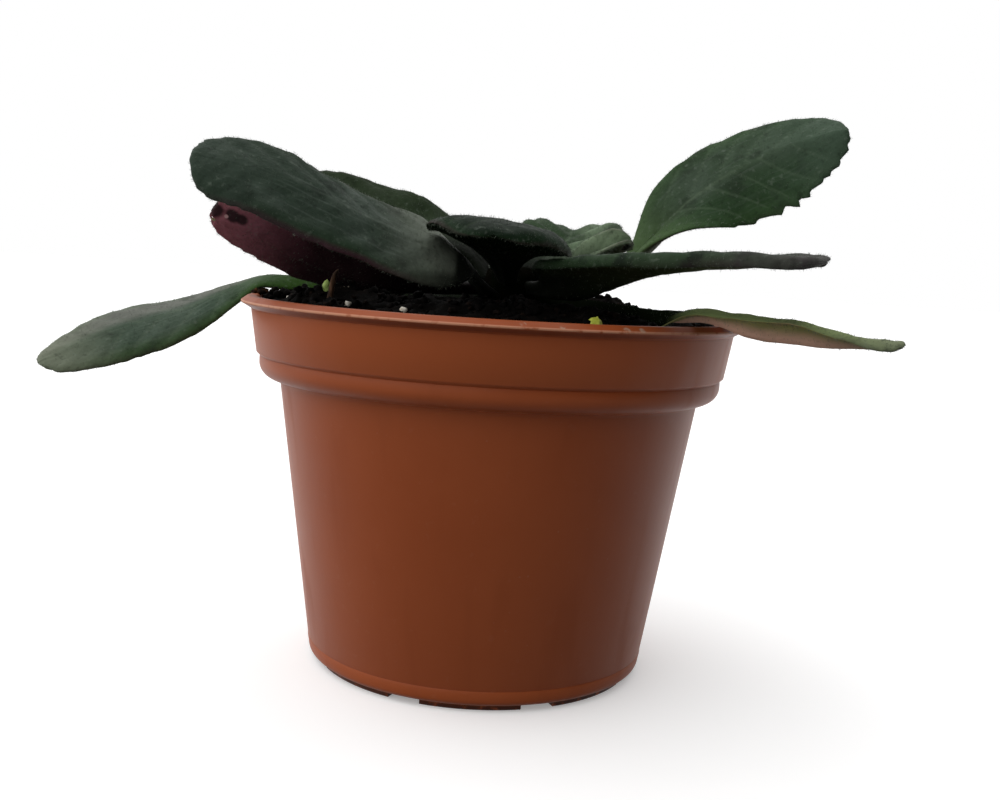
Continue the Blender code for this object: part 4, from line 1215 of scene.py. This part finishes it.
def make_crown():
    """The short stem, ridged where the leaf stalks leave it."""
    straight_to = CROWN_TOP - CROWN_ROUNDING
    outline = [(0, CROWN_FOOT)]
    outline += [(CROWN_RADIUS, CROWN_FOOT + (straight_to - CROWN_FOOT) * k / CROWN_ROWS)
                for k in range(CROWN_ROWS + 1)]
    outline += arc((CROWN_RADIUS - CROWN_ROUNDING, straight_to), CROWN_ROUNDING, 10, 90, 8)
    outline += [(CROWN_RADIUS * .3, CROWN_TOP), (0, CROWN_TOP)]
    points, faces = turned(outline, CROWN_SIDES, CROWN_PLACE)
    points = np.array(points)
    out = points - (*CROWN_PLACE, 0)
    out[:, 2] = 0
    angle = np.arctan2(out[:, 1], out[:, 0])
    ridge = .035 * np.sin(9 * angle + points[:, 2] * 400) + .05 * rough(points, 2 * MM, 3, 4)
    points = points + out * ridge[:, None]
    # the stem's near-black colours are painted shade of the rosette's middle
    finish = Finish("crown_skin", Specular_IOR_Level=0)
    cloud = finish.grain(2 * MM, 4)
    skin = finish.set(finish.blend((6, 9, 4), (10, 9, 6), cloud.step(.4, .65)), .6 + cloud * .2,
                      finish.grain(.5 * MM), depth=.2 * MM)
    place_piece("crown_stem", points, faces, skin, "crown", "crown")
    ways = np.tile((0.0, 0.0, 1.0), (len(points), 1))
    thick = ease(points[:, 2], 67 * MM, 69 * MM) + .001
    grow_hairs("crown_hairs", points, faces, ways, thick, 1400, CROWN_HAIR_LENGTH, hair_finish(),
               60, "crown")


def stick_shape(stick, seed):
    """Points and faces of a tapering round stick that bends a little, with a rough skin."""
    places = np.linspace(0, 1, STICK_ROWS)
    centre = spline(stick.path, places) * MM
    along = unit(np.gradient(centre, axis=0))
    side = np.cross(along, (0, 1, 0))
    front = np.cross(along, side)
    points = [centre[0], centre[-1] + along[-1] * (.2 * stick.radius * MM)]
    for k, t in enumerate(places):
        radius = stick.radius * MM * math.sqrt(max(.02, 1 - .97 * max(0, (t - .6) / .4) ** 3))
        for j in range(STICK_SIDES):
            angle = 2 * math.pi * j / STICK_SIDES
            x, y = math.cos(angle), math.sin(angle)
            bump = 1 + .16 * noise.noise(Vector((x, y, t * 9 + seed * 5)) * 1.8)
            points.append(centre[k] + radius * bump * (side[k] * x + front[k] * y))
    return points, tube_faces(STICK_ROWS, STICK_SIDES)


def make_sticks():
    """The dead stalk, the bud and the stub of a shoot."""
    for seed, stick in enumerate(STICKS):
        finish = Finish(stick.name + "_skin", Specular_IOR_Level=.15)
        lines = finish.grain(.4 * MM, 4, stretch=(1, 1, .25))
        skin = finish.set(finish.blend(stick.dark, stick.light, lines.step(.35, .7)),
                          .45 + stick.dryness + lines * .1, lines, depth=.15 * MM)
        place_piece(stick.name + "_fine", *stick_shape(stick, seed), skin, stick.name, stick.name)


def surround():
    """A studio that is pale above, brightest from the left and dim in front.

    Where the camera sees it straight, it's white all round.
    """
    world = bpy.data.worlds.new("studio")
    bpy.context.scene.world = world
    world.use_nodes = True
    tree = world.node_tree
    way = Mark(tree).make("ShaderNodeTexCoord", {}, {}, "Generated")
    across, depth, height = (way.part(axis) for axis in "XYZ")
    left = sum(part * share for part, share in zip((across, depth, height), LEFT_LIGHT_FROM))
    light = (depth.step(-.05, .5) * BACK_LIGHT + height.step(.3, .95) * TOP_LIGHT
             + left.step(.1, .98) * LEFT_LIGHT)
    light = height.step(-.15, -.02) * light + DIM_LIGHT
    straight = way.make("ShaderNodeLightPath", {}, {}, "Is Camera Ray")
    light = light + (1 - light) * straight
    background = tree.nodes["Background"]
    tree.links.new(light.socket, background.inputs["Strength"])
    background.inputs["Color"].default_value = (1, 1, 1, 1)


def set_the_stage():
    """A plain pale floor that throws no light back up, in a soft surround."""
    corners = [(x * FLOOR_HALF, y * FLOOR_HALF, 0) for x, y in ((-1, -1), (1, -1), (1, 1), (-1, 1))]
    mesh = make_mesh("floor", corners, [(0, 1, 2, 3)])
    floor = add_object("floor", mesh)
    paper = Finish("pale_floor", Roughness=.9, Specular_IOR_Level=.1,
                   Emission_Color=(1, 1, 1, 1), Emission_Strength=FLOOR_GLOW)
    greys = [(grey, grey, grey) for grey in FLOOR_GREYS]
    mesh.materials.append(paper.set(paper.blend(*greys, paper.grain(.4, 2))))
    floor.visible_diffuse = False
    bpy.context.scene.view_settings.view_transform = "Standard"
    surround()


def set_the_camera():
    """A view from just above the rim, a little tilted as the photograph is."""
    level_ahead = math.cos(LOOKING_DOWN)
    ahead = Vector((math.sin(LOOKING_ASIDE) * level_ahead, math.cos(LOOKING_ASIDE) * level_ahead,
                    -math.sin(LOOKING_DOWN)))
    level = Vector((math.cos(LOOKING_ASIDE), -math.sin(LOOKING_ASIDE), 0))
    above = level.cross(ahead)
    right = math.cos(TILT) * level + math.sin(TILT) * above
    up = -math.sin(TILT) * level + math.cos(TILT) * above
    lens = bpy.data.cameras.new("camera")
    lens.sensor_width, lens.lens, lens.clip_start = SENSOR, LENS, NEAREST_SEEN
    camera = add_object("camera", lens)
    turn = Matrix((right, up, -ahead)).transposed().to_4x4()
    turn.translation = Vector(CAMERA_PLACE)
    camera.matrix_world = turn
    bpy.context.scene.camera = camera


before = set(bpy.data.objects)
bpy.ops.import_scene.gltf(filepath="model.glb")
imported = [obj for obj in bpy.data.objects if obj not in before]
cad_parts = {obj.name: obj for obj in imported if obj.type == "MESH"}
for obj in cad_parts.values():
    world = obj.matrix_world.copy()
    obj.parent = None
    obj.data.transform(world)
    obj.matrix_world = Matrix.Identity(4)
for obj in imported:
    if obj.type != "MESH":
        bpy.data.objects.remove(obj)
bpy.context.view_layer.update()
make_pot()
leaf_tree = make_leaves()
soil_tree = make_soil(leaf_tree)
make_crumbs(soil_tree, leaf_tree)
make_crown()
make_sticks()
set_the_stage()
set_the_camera()
